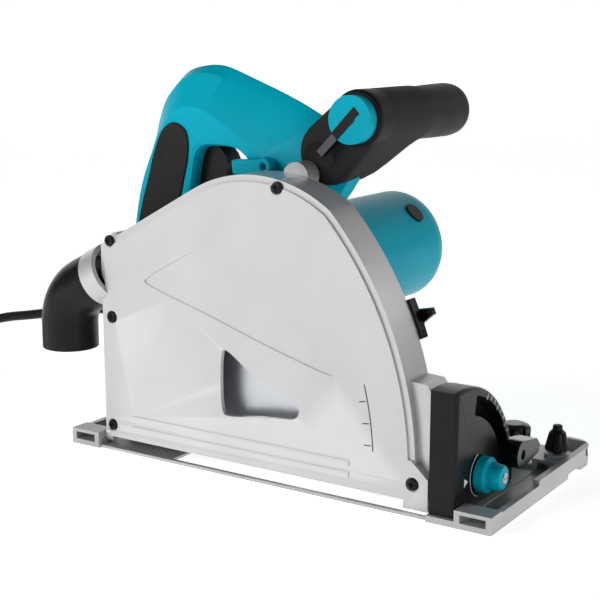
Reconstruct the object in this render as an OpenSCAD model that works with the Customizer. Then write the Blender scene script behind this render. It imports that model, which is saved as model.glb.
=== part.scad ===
// Plunge-cut track saw: a sole plate, a tilting blade case and a plunging saw body.
// X points forward, +Y to the motor side, Z up. The origin is the centre of the sole.

/* [Base plate] */
// Length of the sole plate
base_l = 307; // [300:1:380]
// Width of the sole plate
base_w = 156; // [146:1:190]
// Thickness of the sole plate
plate_t = 4; // [3.2:0.1:5]
// Thickness of the plate under the blade case
strip_t = 2; // [1.5:0.1:2.4]
// Width of the rip-guide bar slot
bar_w = 16; // [12:0.5:17]
// Height of the rip-guide bar slot
bar_h = 4.8; // [4.2:0.1:5.4]
// Height of the slot's floor above the sole
bar_z = 3.6; // [3.4:0.1:4]
// Width of the guide-rail groove
groove_w = 20; // [16:0.5:22]
// Depth of the guide-rail groove
groove_d = 3; // [2:0.1:3]

/* [Blade] */
// Diameter of the saw blade
blade_d = 165; // [140:1:165]
// Thickness of the blade's body
blade_t = 1.8; // [1.4:0.1:2.4]
// Number of teeth on the blade
blade_teeth = 48; // [24:2:56]
// Diameter of the blade's centre hole
arbor_d = 20; // [16:0.5:22]
// Depth of cut at full plunge
cut_depth = 56; // [40:1:56]

/* [Blade case] */
// Width of the case, with its cover
case_w = 28; // [28:0.5:34]
// Wall of the case
case_wall = 3; // [2:0.1:3.4]
// Radius of the case's front arc about the plunge pivot
case_front_r = 217; // [214:0.5:218]
// Radius of the case's top arc about the raised blade
case_top_r = 92; // [91:0.5:100]
// Height of the case's lower edge above the sole
case_low_z = 8; // [7.5:0.5:10]

/* [Plunge] */
// Forward place of the plunge pivot
pivot_x = -115; // [-116:1:-112]
// Height of the plunge pivot above the sole
pivot_z = 23; // [21:1:24]
// Distance from the plunge pivot to the spindle
arm_r = 128; // [126:1:128]
// Angle of that arm above level with the saw raised
rest_a = 34.8; // [33:0.1:36]
// Radius of the plunge pivot's shaft
shaft_r = 6; // [4:0.1:7]

/* [Bevel] */
// Height of the bevel pins above the sole
bevel_z = 8; // [7.8:0.1:9]
// Radius of the bevel pins
pin_r = 2.5; // [2:0.1:3]
// Outer radius of the front angular guide
guide_r = 69; // [67:0.5:74]
// Radius at which the front clamp bolt runs
clamp_r = 58.5; // [56:0.5:60]
// Radius of the clamp bolts
bolt_r = 3; // [2.5:0.1:3.5]

/* [Motor] */
// Outer radius of the motor housing
motor_r = 38; // [36:0.5:41]
// Wall of the motor housing
motor_wall = 2.5; // [2:0.1:3]
// Length of the straight motor housing
motor_l = 130; // [126:1:160]
// Length of the rounded end cover
end_l = 36; // [30:1:44]
// Module of the gear pair
gear_m = 1.15; // [1:0.05:1.15]
// Teeth on the motor's pinion
pinion_n = 9; // [8:1:10]
// Teeth on the spindle's gear
gear_n = 36; // [32:4:36]

/* [Handles] */
// Width of the rear handle, both halves
handle_w = 36; // [30:1:42]
// Wall of the handle halves
handle_wall = 3; // [2:0.1:3.5]
// Radius of the front grip
grip_r = 17.5; // [15:0.5:19]
// Length of the front grip
grip_l = 124; // [100:1:140]
// Width across the flats of the stowed hex wrench
wrench_af = 5; // [4:0.5:6]

/* [Dust nozzle] */
// Outer radius of the dust outlet
outlet_r = 19; // [16:0.5:19]
// Wall of the dust nozzle
outlet_wall = 2.5; // [1.5:0.1:3]
// Length of the straight outlet
outlet_l = 17; // [14:1:24]

/* [Cord] */
// Diameter of the mains cord
cord_d = 7; // [6:0.5:8]

/* [Hidden] */
$fn = 64;

// Clearances: between bodies that move past each other, and of a shaft in its bore
gap = 0.3;
run = 0.05;

// Places across the saw, from the near edge of the sole to the motor's far end
near_y = -base_w / 2;
case_y0 = near_y + 6;
case_y1 = case_y0 + case_w;
cover_y = case_y0 + 6;
blade_y = case_y0 + 14;
gear_y0 = case_y1 + 0.5;
motor_y0 = gear_y0 + 17.6;
motor_y1 = motor_y0 + motor_l;
end_y = motor_y1 + end_l;
handle_y0 = case_y1 + 14;
handle_y1 = handle_y0 + handle_w;
handle_mid = (handle_y0 + handle_y1) / 2;

// Axes seen from the side, as [x, z]
pivot = [pivot_x, pivot_z];
spindle_c = polar(pivot, arm_r, rest_a);
gear_c = gear_m * (pinion_n + gear_n) / 2;
mesh_a = 98;
motor_c = polar(spindle_c, gear_c, mesh_a);
blade_r = blade_d / 2;
low_a = asin((blade_r - cut_depth - pivot_z) / arm_r);

// Spindle and gear pair
nose_r = 15.5;
pot_r = gear_m * (gear_n / 2 + 1) + 0.8;
pot_wall = 2.1;
spindle_r = 7.5;
tail_r = 5;
hub_r = arbor_d / 2 - run;
flange_r = 18;
lock_r = 16.5;
lock_a = -82;

// Case outline
case_rear_x = pivot_x - 15;
case_slope = 28.6;
collar_a = 207;
collar_r = outlet_r + 0.5;
collar_end = [case_rear_x - 12, 110.6];
case_y = blade_y;
spigot_r = outlet_r - outlet_wall - 0.5;
front_x = pivot_x + 227;
tab_x = front_x - 1;
screw_r = 2;
cover_screw_at = [
    [case_rear_x + 8, 139], [case_rear_x + 9, 89], [case_rear_x + 7, 16],
    polar(spindle_c, case_top_r - 4.5, 78), [front_x - 11, 18]];

// Bevel pins, guides and their clamps, as [y, z] seen from the front
bevel_c = [case_y0 + 6, bevel_z];
lug_r = pin_r + 2.9;
guide_x0 = front_x + 1.2;
guide_t = 16.8;
front_bolt = polar(bevel_c, clamp_r, 18);
rear_r = 68;
rear_bolt = polar(bevel_c, rear_r, 12);
rear_guide_x = case_rear_x - 4.5;
rear_guide_t = 6;
ear_t = 7;
slot_clear = 0.4;
selector_c = [case_y0 + 28, 22];
selector_r = 11.5;

// Ends of the sole: bar slots, blocks, walls and screws
end_x = base_l / 2;
bar_x = end_x - 11.5;
block_h = bar_z + bar_h + 2.2;
block_l = 14;
end_wall = 4;
rip_y = base_w / 2 - 36;
boss_h = block_h + 2.5;
groove_y = base_w / 2 - 34;
adjust_x = front_x;

// Depth stop on the case's front arc
stop_a = 22.8;
rail_in = case_front_r - 6;
rail_out = case_front_r - 3;

// Handle outline, as [x, z]
handle_pts = [
    [-72, 249.2], [-50, 242], [-14, 228], [14, 213], [33, 196], [27, 181], [15, 164], [7, 146],
    [-6, 116], [-40, 88], [-80, 79], [-120, 77], [-143, 88], [-146, 114], [-141, 142],
    [-135.5, 168], [-128, 196], [-119, 226], [-104, 243], [-90, 248.5]];
hole_pts = [
    [-82, 195], [-66, 199], [-51, 197], [-40, 186], [-41, 168], [-53, 146], [-70, 124],
    [-85, 114], [-95, 122], [-92, 145], [-88, 168]];
grip_c = [37, 220];
neck_c = [16, 199];
neck_r = 20;
grip_y0 = handle_y0;
trigger_pin = [-85, 199];

// Free cord: its hand-chosen route after the guard, its coil and its plug
cord_r = cord_d / 2;
guard_tip = [-196, -12, 76];
cord_pts = [
    guard_tip, [-214, -11.5, 72], [-236, -10, 67], [-260, -8, 62], [-285, -6, 57], [-308, -5, 50],
    [-328, -4, 40], [-344, -3, 28], [-357, -2, 16], [-370, -0.5, 7], [-384, 0.5, 3.5], [-394, 1, 3.5]];
coil_c = [-402, -44.5];
coil_turns = 3;
coil_mid = 5.5 * cord_d;

function polar(c, r, a) = [c[0] + r * cos(a), c[1] + r * sin(a)];
function unit(v) = v / norm(v);

// Points on a closed smooth curve through p, n to each stretch
function smooth_loop(p, n = 5) = let (k = len(p)) [for (i = [0:k-1], j = [0:n-1])
    let (a = p[(i+k-1) % k], b = p[i], c = p[(i+1) % k], d = p[(i+2) % k], t = j / n)
    0.5 * (2*b + (c-a)*t + (2*a - 5*b + 4*c - d)*t*t + (3*b - a - 3*c + d)*t*t*t)];

// A clockwise loop moved inwards by d, or outwards where d is negative
function inset_loop(p, d) = let (k = len(p)) [for (i = [0:k-1])
    let (t = unit(p[(i+1) % k] - p[(i+k-1) % k])) p[i] + d * [t[1], -t[0]]];

// Points of a straight-toothed gear; a tooth stands at angle a
function gear_pts(n, a) = let (m = gear_m, q = 90 / n) [for (i = [0:n-1], s = [0:3])
    let (c = a + i * 360 / n, r = (s == 0 || s == 3) ? m * (n/2 - 1.25) : m * (n/2 + 0.92),
        w = [-1.25, -0.36, 0.36, 1.25][s]) [r * cos(c + w*q), r * sin(c + w*q)]];

// Rings of points about a path, and the tube that they make
function ring(p, t, r, n, ref) = let (side = unit(cross(t, ref)), up = cross(side, t))
    [for (i = [0:n-1]) p + r * (cos(360*i/n) * side + sin(360*i/n) * up)];
module tube(path, r, n, ref = [0, 0, 1]) {
    k = len(path);
    pts = [for (i = [0:k-1])
        each ring(path[i], unit(path[min(i+1, k-1)] - path[max(i-1, 0)]), r, n, ref)];
    sides = [for (i = [0:k-2], j = [0:n-1])
        [i*n + j, i*n + (j+1) % n, (i+1)*n + (j+1) % n, (i+1)*n + j]];
    polyhedron(pts, concat(sides, [[for (j = [n-1:-1:0]) j], [for (j = [0:n-1]) (k-1)*n + j]]));
}

// Extrusions of side views along Y and of front views along X, and rods along each axis
module y_slab(y0, y1) translate([0, y1, 0]) rotate([90, 0, 0]) linear_extrude(y1 - y0) children();
module x_slab(x0, x1) translate([x0, 0, 0]) rotate([90, 0, 90]) linear_extrude(x1 - x0) children();
module y_rod(c, y0, y1, r) translate([c[0], y0, c[1]]) rotate([-90, 0, 0]) cylinder(h=y1-y0, r=r);
module x_rod(c, x0, x1, r) translate([x0, c[0], c[1]]) rotate([0, 90, 0]) cylinder(h=x1-x0, r=r);
module z_rod(c, z0, z1, r) translate([c[0], c[1], z0]) cylinder(h=z1-z0, r=r);
module y_ring(c, y0, y1, r, bore) difference() {
    y_rod(c, y0, y1, r);
    y_rod(c, y0 - 1, y1 + 1, bore);
}
module block(x0, x1, y0, y1, z0, z1) translate([x0, y0, z0]) cube([x1-x0, y1-y0, z1-z0]);
module disc(c, r) translate(c) circle(r);

// A flat ring sector between two angles
module sector(c, r0, r1, a0, a1) intersection() {
    difference() { disc(c, r1); disc(c, r0); }
    polygon([c, polar(c, 2*r1, a0), polar(c, 2*r1, (a0+a1)/2), polar(c, 2*r1, a1)]);
}
// A round-ended slot along an arc, as one polygon
module arc_slot(c, r, w, a0, a1) {
    n = 16;
    step = (a1 - a0) / n;
    cap0 = polar(c, r, a0);
    cap1 = polar(c, r, a1);
    polygon(concat(
        [for (i = [0:n]) polar(c, r + w, a0 + i * step)],
        [for (i = [1:9]) polar(cap1, w, a1 + 18 * i)],
        [for (i = [n:-1:0]) polar(c, r - w, a0 + i * step)],
        [for (i = [1:9]) polar(cap0, w, a0 + 180 + 18 * i)]));
}

// Side view of the blade case, moved in by d, its floor at z: rear edge, floor, front arc about
// the pivot, top arc about the spindle, then the rear slope along that arc's tangent
module case_view(d, z) {
    front_r = case_front_r - d;
    top_r = case_top_r - d;
    low = asin((z - pivot_z) / front_r);
    high = rest_a + acos((front_r * front_r + arm_r * arm_r - top_r * top_r) / (2 * front_r * arm_r));
    corner = polar(pivot, front_r, high);
    top_a = atan2(corner[1] - spindle_c[1], corner[0] - spindle_c[0]);
    slope = polar(spindle_c, top_r, 90 + case_slope);
    polygon(concat(
        [[case_rear_x + d, z]],
        [for (i = [0:24]) polar(pivot, front_r, low + (high - low) * i / 24)],
        [for (i = [1:28]) polar(spindle_c, top_r, top_a + (90 + case_slope - top_a) * i / 28)],
        [[case_rear_x + d, slope[1] - (slope[0] - case_rear_x - d) * tan(case_slope)]]));
}

// A rod along the dust collar's axis, from s0 to s1 past the collar's end
module collar_rod(s0, s1, r) {
    at = polar(collar_end, s0, collar_a);
    translate([at[0], case_y, at[1]]) rotate([0, 90 - collar_a, 0]) cylinder(h = s1 - s0, r = r);
}

module screw_head(c, y0, y1) difference() {
    y_rod(c, y0, y1, 4);
    y_slab(y0 - 1, y0 + 1.4) translate(c) { square([4.6, 1.1], center = true); square([1.1, 4.6], center = true); }
}

module base_plate() color("#b5b5b5") difference() {
    union() {
        difference() {
            union() {
                block(-end_x, end_x, near_y, -near_y, 0, plate_t);
                block(-end_x, end_x, groove_y - groove_w/2 - 3, groove_y + groove_w/2 + 3, 0, groove_d + 3.6);
            }
            block(case_rear_x - 4, guide_x0 - 0.4, near_y - 1, near_y + 2, -1, 20);
            block(case_rear_x - 4, guide_x0 - 0.4, near_y - 1, case_y1 + 6, strip_t, 20);
            block(pivot_x + 43, guide_x0 - 0.4, near_y + 5, case_y1 + 6, -1, 20);
            block(pivot_x + 95, pivot_x + 164, case_y1, motor_y0 + 5.4, -1, 20);
        }
        for (s = [-1, 1]) {
            translate([s * bar_x, 0, 0]) {
                block(-11.5, 11.5, near_y, near_y + block_l, 0, block_h);
                block(-11.5, 11.5, rip_y - 12, rip_y + 12, 0, block_h);
                z_rod([0, rip_y], block_h - 1, boss_h, 8);
            }
            block(min(s*end_x, s*(end_x-end_wall)), max(s*end_x, s*(end_x-end_wall)),
                near_y, -near_y, 0, block_h - 1);
            block(min(s*end_x, s*(end_x-end_wall)), max(s*end_x, s*(end_x-end_wall)),
                near_y + 66, -near_y, 0, block_h + 2);
            block(min(s*end_x, s*(end_x-24)), max(s*end_x, s*(end_x-24)), -near_y - 4, -near_y, 0, block_h + 2);
        }
    }
    block(-end_x - 1, end_x + 1, groove_y - groove_w/2, groove_y + groove_w/2, -1, groove_d);
    for (s = [-1, 1]) {
        translate([s * bar_x - bar_w/2, near_y - 1, bar_z]) cube([bar_w, rip_y + 13 - near_y, bar_h]);
        z_rod([s * bar_x, rip_y], bar_z, boss_h + 1, 3);
        z_rod([s * adjust_x, groove_y], -1, 30, 3);
        translate([s * end_x - 6, -near_y - 16, bar_z + 3]) cube([12, 10, 5]);
    }
    x_rod(bevel_c, -bar_x, -end_x + 60, pin_r);
    guide_screw_holes();
    translate([end_x, -near_y, -1]) difference() {
        translate([-14, -14, 0]) cube([15, 15, 40]);
        translate([-14, -14, -1]) cylinder(h = 42, r = 14);
    }
}

module front_angle_guide() color("#1e1e1e") difference() {
    x_slab(guide_x0, guide_x0 + guide_t) intersection() {
        disc(bevel_c, guide_r);
        translate([case_y0 - 3, plate_t]) square([150, 150]);
    }
    x_slab(guide_x0 - 1, guide_x0 + guide_t + 1) arc_slot(bevel_c, clamp_r, bolt_r + slot_clear, 15, 69);
    x_slab(guide_x0 + 8, guide_x0 + guide_t + 1) sector(bevel_c, clamp_r - 6, clamp_r + 5.5, 10, 76);
    x_rod(bevel_c, guide_x0 - 1, guide_x0 + 12, pin_r);
    x_rod(selector_c, guide_x0 + 3, guide_x0 + guide_t + 1, 4 + run);
    guide_screw_holes();
}
module rear_angle_guide() color("#2a2a2a") difference() {
    x_slab(rear_guide_x, rear_guide_x + rear_guide_t) intersection() {
        disc(bevel_c, rear_r + 7);
        translate([case_y1 + 2.5, plate_t]) square([60, 80]);
    }
    x_slab(rear_guide_x - 1, rear_guide_x + rear_guide_t + 1)
        arc_slot(bevel_c, rear_r, bolt_r + slot_clear, 10, 62);
    guide_screw_holes();
}
module bevel_pins() color("silver") {
    x_rod(bevel_c, front_x - 8, guide_x0 + 12, pin_r);
    x_rod(bevel_c, -bar_x + bar_w/2, case_rear_x + 6, pin_r);
}
guide_screw_at = [
    [guide_x0 + 8, case_y0 + 44], [guide_x0 + 8, case_y0 + 18], [rear_guide_x + 3, case_y1 + 20]];
module guide_screws() color("#222222") for (p = guide_screw_at) z_rod(p, 0.6, plate_t + 5, 1.8);
module guide_screw_holes() for (p = guide_screw_at) z_rod(p, 0.6, plate_t + 5.4, 1.8);

module stop_selector() color("#0092a6") {
    x_rod(selector_c, guide_x0 + 4, guide_x0 + guide_t + gap, 4);
    translate([guide_x0 + guide_t + gap, selector_c[0], selector_c[1]]) rotate([0, 90, 0])
        cylinder(h = 2.5, r = selector_r);
    translate([guide_x0 + guide_t + gap + 2.5, selector_c[0], selector_c[1]]) rotate([0, 90, 0])
        cylinder(h = 13, r1 = selector_r - 1, r2 = 6);
}

module thumb_screw(s) translate([s * bar_x, rip_y, 0]) {
    z_rod([0, 0], bar_z + bar_h - 0.6, boss_h + 1, 3 - run);
    translate([0, 0, boss_h + 1]) cylinder(h = 16, r1 = 7.5, r2 = 5.5);
    translate([-2, -5, boss_h + 16]) cube([4, 10, 9]);
}
module front_rip_screw() color("#1e1e1e") thumb_screw(1);
module rear_rip_screw() color("#1e1e1e") thumb_screw(-1);

module rail_adjuster(s) translate([s * adjust_x, groove_y, 0]) {
    z_rod([0, 0], groove_d + 0.5, groove_d + 5, 3 - run);
    difference() {
        z_rod([0, 0], groove_d + 4, groove_d + 24, 10.5);
        for (i = [0:5]) rotate(60 * i) z_rod([12.2, 0], groove_d + 12, groove_d + 25, 3.2);
    }
}
module front_rail_adjuster() color("#1e1e1e") rail_adjuster(1);
module rear_rail_adjuster() color("#1e1e1e") rail_adjuster(-1);

// The case is a casting with its open side towards the cover
module case_inner() color("#d0cecf") difference() {
    union() {
        y_slab(cover_y, case_y1) case_view(0, case_low_z);
        y_slab(cover_y, case_y1) intersection() {
            polygon([[front_x - 24, 3], [front_x - 24, 70], [front_x - 20, 77], [front_x - 6, 76],
                [front_x, 68], [front_x, 3]]);
            difference() { disc(pivot, 400); disc(pivot, case_front_r - case_wall); }
        }
        for (c = cover_screw_at) y_rod(c, cover_y, case_y1, 4.8);
        y_rod(pivot, cover_y, case_y1, shaft_r + 3);
        x_rod(bevel_c, front_x - 8, front_x, lug_r);
        x_rod(bevel_c, case_rear_x, case_rear_x + 6, lug_r);
        x_slab(front_x - ear_t, front_x) front_ear_view();
        x_slab(rear_guide_x - 0.5 - ear_t, rear_guide_x - 0.5) rear_ear_view();
        block(rear_guide_x - 0.5 - ear_t, case_rear_x + 2, case_y1 - 12, case_y1, 15, 60);
        y_slab(case_y1 - 1, case_y1 + 2.5) sector(pivot, rail_in, rail_out, 5, 39);
        collar_rod(-13, 0, collar_r);
    }
    difference() {
        y_slab(cover_y - 1, case_y1 - case_wall) case_view(case_wall, -5);
        for (c = cover_screw_at) y_rod(c, cover_y - 2, case_y1, 4.8);
        y_rod(pivot, cover_y - 2, case_y1, shaft_r + 3);
    }
    y_slab(case_y1 - case_wall - 1, case_y1 + 5) arc_slot(pivot, arm_r, nose_r + 1.2, low_a - 0.5, rest_a + 0.5);
    x_rod(bevel_c, front_x - 20, front_x + 1, pin_r + run);
    x_rod(bevel_c, case_rear_x - 5, case_rear_x + 8, pin_r + run);
    x_rod(front_bolt, front_x - 20, front_x + 1, bolt_r);
    x_rod(rear_bolt, rear_guide_x - 20, rear_guide_x, bolt_r);
    for (c = cover_screw_at) y_rod(c, cover_y - 1, case_y1 - 2, screw_r);
    y_rod(pivot, cover_y - 1, case_y1 + 1, shaft_r);
    collar_rod(-16, 1, spigot_r + run);
}
module front_ear_view() polygon([
    [case_y1 - 6, 66], [case_y1, 66], [front_bolt[0] + 6, front_bolt[1] + 11],
    [front_bolt[0] + 9, front_bolt[1]], [front_bolt[0] + 6, front_bolt[1] - 9],
    [case_y1, 7], [case_y1 - 6, 7]]);
module rear_ear_view() polygon([
    [case_y1 - 12, 60], [case_y1, 60], [rear_bolt[0] + 6, rear_bolt[1] + 10],
    [rear_bolt[0] + 8, rear_bolt[1]], [rear_bolt[0] + 6, 15], [case_y1 - 12, 15]]);

module window_view() polygon(smooth_loop([
    [-29, 79], [-10, 67], [8, 60], [21, 53], [24, 48], [18, 42.5], [-5, 40.5], [-28, 37.5],
    [-33, 42], [-34, 60], [-33, 75]], 4));

module case_cover() color("#d0cecf") difference() {
    union() {
        y_slab(case_y0 + 1.5, cover_y) case_view(0, case_low_z);
        y_slab(case_y0, case_y0 + 2) case_view(4, case_low_z);
        y_slab(case_y0, cover_y) intersection() {
            polygon([[front_x - 24, 3], [front_x - 24, 32], [front_x - 12, 32], [tab_x, 22], [tab_x, 3]]);
            difference() { disc(pivot, 400); disc(pivot, case_front_r - 6); }
        }
        for (x = [16, 23]) y_slab(case_y0 - 0.8, case_y0 + 1)
            translate([case_rear_x + 25, x - 1.6]) square([164, 3.2]);
    }
    difference() {
        y_slab(case_y0 + 3, cover_y + 1) case_view(case_wall, -5);
        for (c = cover_screw_at) y_rod(c, case_y0, cover_y + 2, 4.8);
        y_rod(pivot, case_y0, cover_y + 2, shaft_r + 3);
    }
    for (c = cover_screw_at) {
        y_rod(c, case_y0 - 1, case_y0 + 1.5, 4.3);
        y_rod(c, case_y0 - 1, cover_y + 1, screw_r);
    }
    y_slab(case_y0 - 2, case_y0 + 4) window_view();
    x_rod(bevel_c, front_x - 9, front_x + 1, lug_r + 0.1);
    x_rod(bevel_c, case_rear_x - 5, case_rear_x + 6.5, lug_r + 0.1);
    collar_rod(-13.2, 1, collar_r + 0.1);
}
module cover_screws() color("#1e1e1e") for (c = cover_screw_at) {
    screw_head(c, case_y0 - 0.6, case_y0 + 1.5);
    y_rod(c, case_y0 + 1.5, case_y1 - 3, screw_r);
}

module plunge_shaft() color("silver") {
    y_rod(pivot, cover_y, gear_y0 + 16.8, shaft_r);
    y_rod(pivot, gear_y0 + 16.8, gear_y0 + 19, shaft_r + 3);
}
spring_r = shaft_r + 5.9;
module return_spring() color("dimgray") tube([for (i = [0:80])
    let (a = 18 * i) [pivot_x + spring_r * cos(a), gear_y0 + 7.5 + i * 0.1, pivot_z + spring_r * sin(a)]], 0.7, 6, [0, 1, 0]);

module clamp_bolts() color("silver") {
    x_rod(front_bolt, front_x - ear_t - 4, front_x - ear_t, 5.5);
    x_rod(front_bolt, front_x - ear_t, guide_x0 + guide_t + 10, bolt_r);
    x_rod(rear_bolt, rear_guide_x - 14, rear_guide_x + rear_guide_t + gap, bolt_r);
    x_rod(rear_bolt, rear_guide_x + rear_guide_t + gap, rear_guide_x + rear_guide_t + 4, 5.5);
}
// A lobed clamp lever; its hub is bored for the bolt and its arm points to +Y
module lever_view(c, r) difference() {
    union() {
        disc(c, r);
        polygon([c + [0, r - 0.1], c + [20, 5], c + [25, 0], c + [23, -4.5], c + [0, 0.1 - r]]);
    }
    disc(c, bolt_r + run);
}
module front_clamp_lever() color("#1e1e1e")
    x_slab(guide_x0 + guide_t + gap, guide_x0 + guide_t + 12) lever_view(front_bolt, 8.5);
module rear_clamp_lever() color("#1e1e1e")
    x_slab(rear_guide_x - 16, rear_guide_x - ear_t - 0.5 - gap) lever_view(rear_bolt, 7);

module depth_stop_slider() color("#1e1e1e") difference() {
    y_slab(case_y1 + gap, case_y1 + 7.5) sector(pivot, case_front_r - 7.5, case_front_r + 2, stop_a - 3.2, stop_a + 3.2);
    y_slab(case_y1 - 1, case_y1 + 2.5 + gap) sector(pivot, rail_in - gap, rail_out + gap, stop_a - 5, stop_a + 5);
    y_rod(polar(pivot, rail_out - 1, stop_a), case_y1 + 4, case_y1 + 9, 2.5);
}
module depth_stop_knob() color("#1e1e1e") {
    c = polar(pivot, rail_out - 1, stop_a);
    y_rod(c, case_y1 + 4.5, case_y1 + 8, 2.5 - run);
    y_rod(c, case_y1 + 7.5 + gap, case_y1 + 13, 5.5);
    y_slab(case_y1 + 7.5 + gap, case_y1 + 12) translate(c) rotate(stop_a) polygon([[0, -5.5], [0, 5.5], [13, 3], [13, -1]]);
}

// Elbow of the dust nozzle: spigot in the collar, bend and straight outlet
elbow_r = 30;
elbow_c = polar(polar(collar_end, 14, collar_a), elbow_r, collar_a + 90);
outlet_x = elbow_c[0] - elbow_r;
outlet_z = elbow_c[1] - outlet_l;
module elbow(r, grow) {
    collar_rod(gap - grow, 14, r);
    translate([elbow_c[0], case_y, elbow_c[1]]) rotate([90, 0, 0]) rotate([0, 0, collar_a - 90])
        rotate_extrude(angle = 270 - collar_a) translate([elbow_r, 0]) circle(r);
    z_rod([outlet_x, case_y], outlet_z - grow, elbow_c[1], r);
}
module dust_nozzle() color("#202020") difference() {
    union() {
        elbow(outlet_r, 0);
        collar_rod(-8, 1, spigot_r);
    }
    elbow(outlet_r - outlet_wall, 1);
    collar_rod(-9, 1.5, spigot_r - 2);
}

// Gear housing: a plate on the plunge pivot, the pot for the gears and the spindle's nose
lever_at = [-31, 189];
stop_boss = [3, 185];
module gear_housing() color("#9a9c9e") difference() {
    union() {
        y_slab(gear_y0, gear_y0 + 5) {
            disc(spindle_c, pot_r + pot_wall);
            disc(motor_c, 26);
            disc(pivot, shaft_r + 5);
            polygon([polar(pivot, shaft_r + 5, 130), spindle_c + [-24, 22], motor_c + [-18, 18],
                stop_boss + [-8, 0], stop_boss + [8, 0], motor_c + [18, 18], spindle_c + [20, -12],
                spindle_c + [-10, -pot_r], polar(pivot, shaft_r + 5, -50)]);
            disc(stop_boss, 9);
        }
        y_rod(pivot, gear_y0, gear_y0 + 16.5, shaft_r + 5);
        y_rod(spindle_c, gear_y0, motor_y0, pot_r + pot_wall);
        y_rod(motor_c, gear_y0, motor_y0, 16);
        y_rod(spindle_c, blade_y + 5.5, gear_y0 + 1, nose_r);
        y_rod(stop_boss, gear_y0 - 0.2, gear_y0 + 12.5, 9);
    }
    y_rod(pivot, gear_y0 - 1, gear_y0 + 18, shaft_r + run);
    y_rod(spindle_c, gear_y0 + 4, motor_y0 + 1, pot_r);
    y_rod(motor_c, gear_y0 + 4, motor_y0 + 1, 12);
    y_rod(spindle_c, blade_y + 7, gear_y0 + 4.5, 13);
    y_rod(spindle_c, blade_y + 5, gear_y0 + 4.5, spindle_r + 1);
}

// Motor housing: bulkhead with two bearing seats, and a straight shell
bearing_y = motor_y0 + 0.4;
module motor_housing() color("#0092a6") difference() {
    union() {
        difference() {
            y_rod(motor_c, motor_y0, motor_y1, motor_r);
            y_rod(motor_c, motor_y0 + 4.5, motor_y1 + 1, motor_r - motor_wall);
        }
        y_rod(motor_c, motor_y0, motor_y0 + 8, 14);
        y_rod(spindle_c, motor_y0, motor_y0 + 4.5, pot_r + pot_wall);
        y_rod(spindle_c, motor_y0, motor_y0 + 8, 10.5);
    }
    y_rod(motor_c, motor_y0 - 1, motor_y0 + 9, 11);
    y_rod(spindle_c, motor_y0 - 1, motor_y0 + 6.5, 8);
    y_rod(polar(spindle_c, lock_r, lock_a), motor_y0 - 1, motor_y0 + 5, 2 + run);
    for (a = [45, 225]) brush_rod(a, motor_r - 4, motor_r + 4, 7.5);
    y_slab(dial_y - 0.5, dial_y + 6.5) disc(dial_c, dial_r + 0.5);
}
module brush_rod(a, s0, s1, r) {
    translate([motor_c[0], brush_y, motor_c[1]]) rotate([0, 90 - a, 0]) translate([0, 0, s0]) cylinder(h = s1-s0, r = r);
}
brush_y = motor_y1 - 15;
dial_y = motor_y1 - 32;
dial_r = 10;
dial_c = polar(motor_c, motor_r - 4, 160);

module motor_end_cover() color("#0092a6") translate([motor_c[0], 0, motor_c[1]]) rotate([-90, 0, 0]) {
    difference() {
        union() {
            translate([0, 0, motor_y1]) cylinder(h = 6, r = motor_r);
            translate([0, 0, motor_y1 + 6]) cylinder(h = end_l - 6, r1 = motor_r, r2 = motor_r - 18);
        }
        translate([0, 0, motor_y1 - 1]) cylinder(h = 7, r = motor_r - motor_wall);
        translate([0, 0, motor_y1 + 5.9])
            cylinder(h = end_l - 10, r1 = motor_r - motor_wall, r2 = motor_r - 18);
        for (i = [-3:3], s = [-1, 1]) translate([i * 4.4 - 1.1, s * 12.5 - 4.5, end_y - 9]) cube([2.2, 9, 12]);
    }
    difference() {
        translate([0, 0, end_y - 22]) cylinder(h = 19, r = 12);
        translate([0, 0, end_y - 23]) cylinder(h = 12, r = 9.5);
    }
}

module handle_view(d) difference() {
    polygon(inset_loop(smooth_loop(handle_pts), d));
    polygon(inset_loop(smooth_loop(hole_pts), -d));
}
// One half of the handle between y0 and y1, hollow from the joint face
module handle_half(y0, y1, inner0, inner1) difference() {
    union() {
        difference() {
            y_slab(y0, y1) handle_view(0);
            y_slab(inner0, inner1) handle_view(handle_wall);
        }
        for (c = housing_screw_at) y_rod(c, y0, y1, 4);
    }
    housing_screw_rods(0.3);
    y_rod(motor_c, motor_y0 - 0.1, handle_y1 + 1, motor_r + 0.1);
    y_rod(motor_c, handle_y0 - 1, motor_y0, 27);
    y_rod(spindle_c, handle_y0 - 1, motor_y0 + 5, pot_r + pot_wall + 0.5);
    y_slab(handle_y0 - 1, handle_y1 + 1) neck_view(0.1);
    trigger_space();
    y_rod(trigger_pin, handle_mid - 10.4, handle_mid + 10.4, 2 + run);
    switch_space(0.1);
    guard_rod(-6, 4, 8.1);
}
module handle_left() color("#0092a6") handle_half(handle_y0, handle_mid, handle_y0 + handle_wall, handle_mid + 1);
module handle_right() color("#0092a6") difference() {
    handle_half(handle_mid, handle_y1, handle_mid - 1, handle_y1 - handle_wall);
    y_rod(button_c, handle_mid, handle_y1 + 1, 5 + run);
}
button_c = [-82, 217];

rubber_pts = [
    [-101, 213], [-92, 210], [-88.5, 203], [-89, 190], [-93, 174], [-97, 158], [-99, 140], [-103, 122],
    [-112, 107], [-125, 104], [-134, 112], [-133, 136], [-128, 158], [-122, 176], [-117, 192], [-110, 207]];
module grip_rubber_left() color("#3a3938")
    y_slab(handle_y0 - 1.2, handle_y0) polygon(smooth_loop(rubber_pts, 4));
module grip_rubber_right() color("#3a3938")
    y_slab(handle_y1, handle_y1 + 1.2) polygon(smooth_loop(rubber_pts, 4));

housing_screw_at = [[-132, 97], [-108, 228], [-62, 226], [-16, 206]];
module housing_screws() color("#222222") housing_screw_rods(0);
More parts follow.
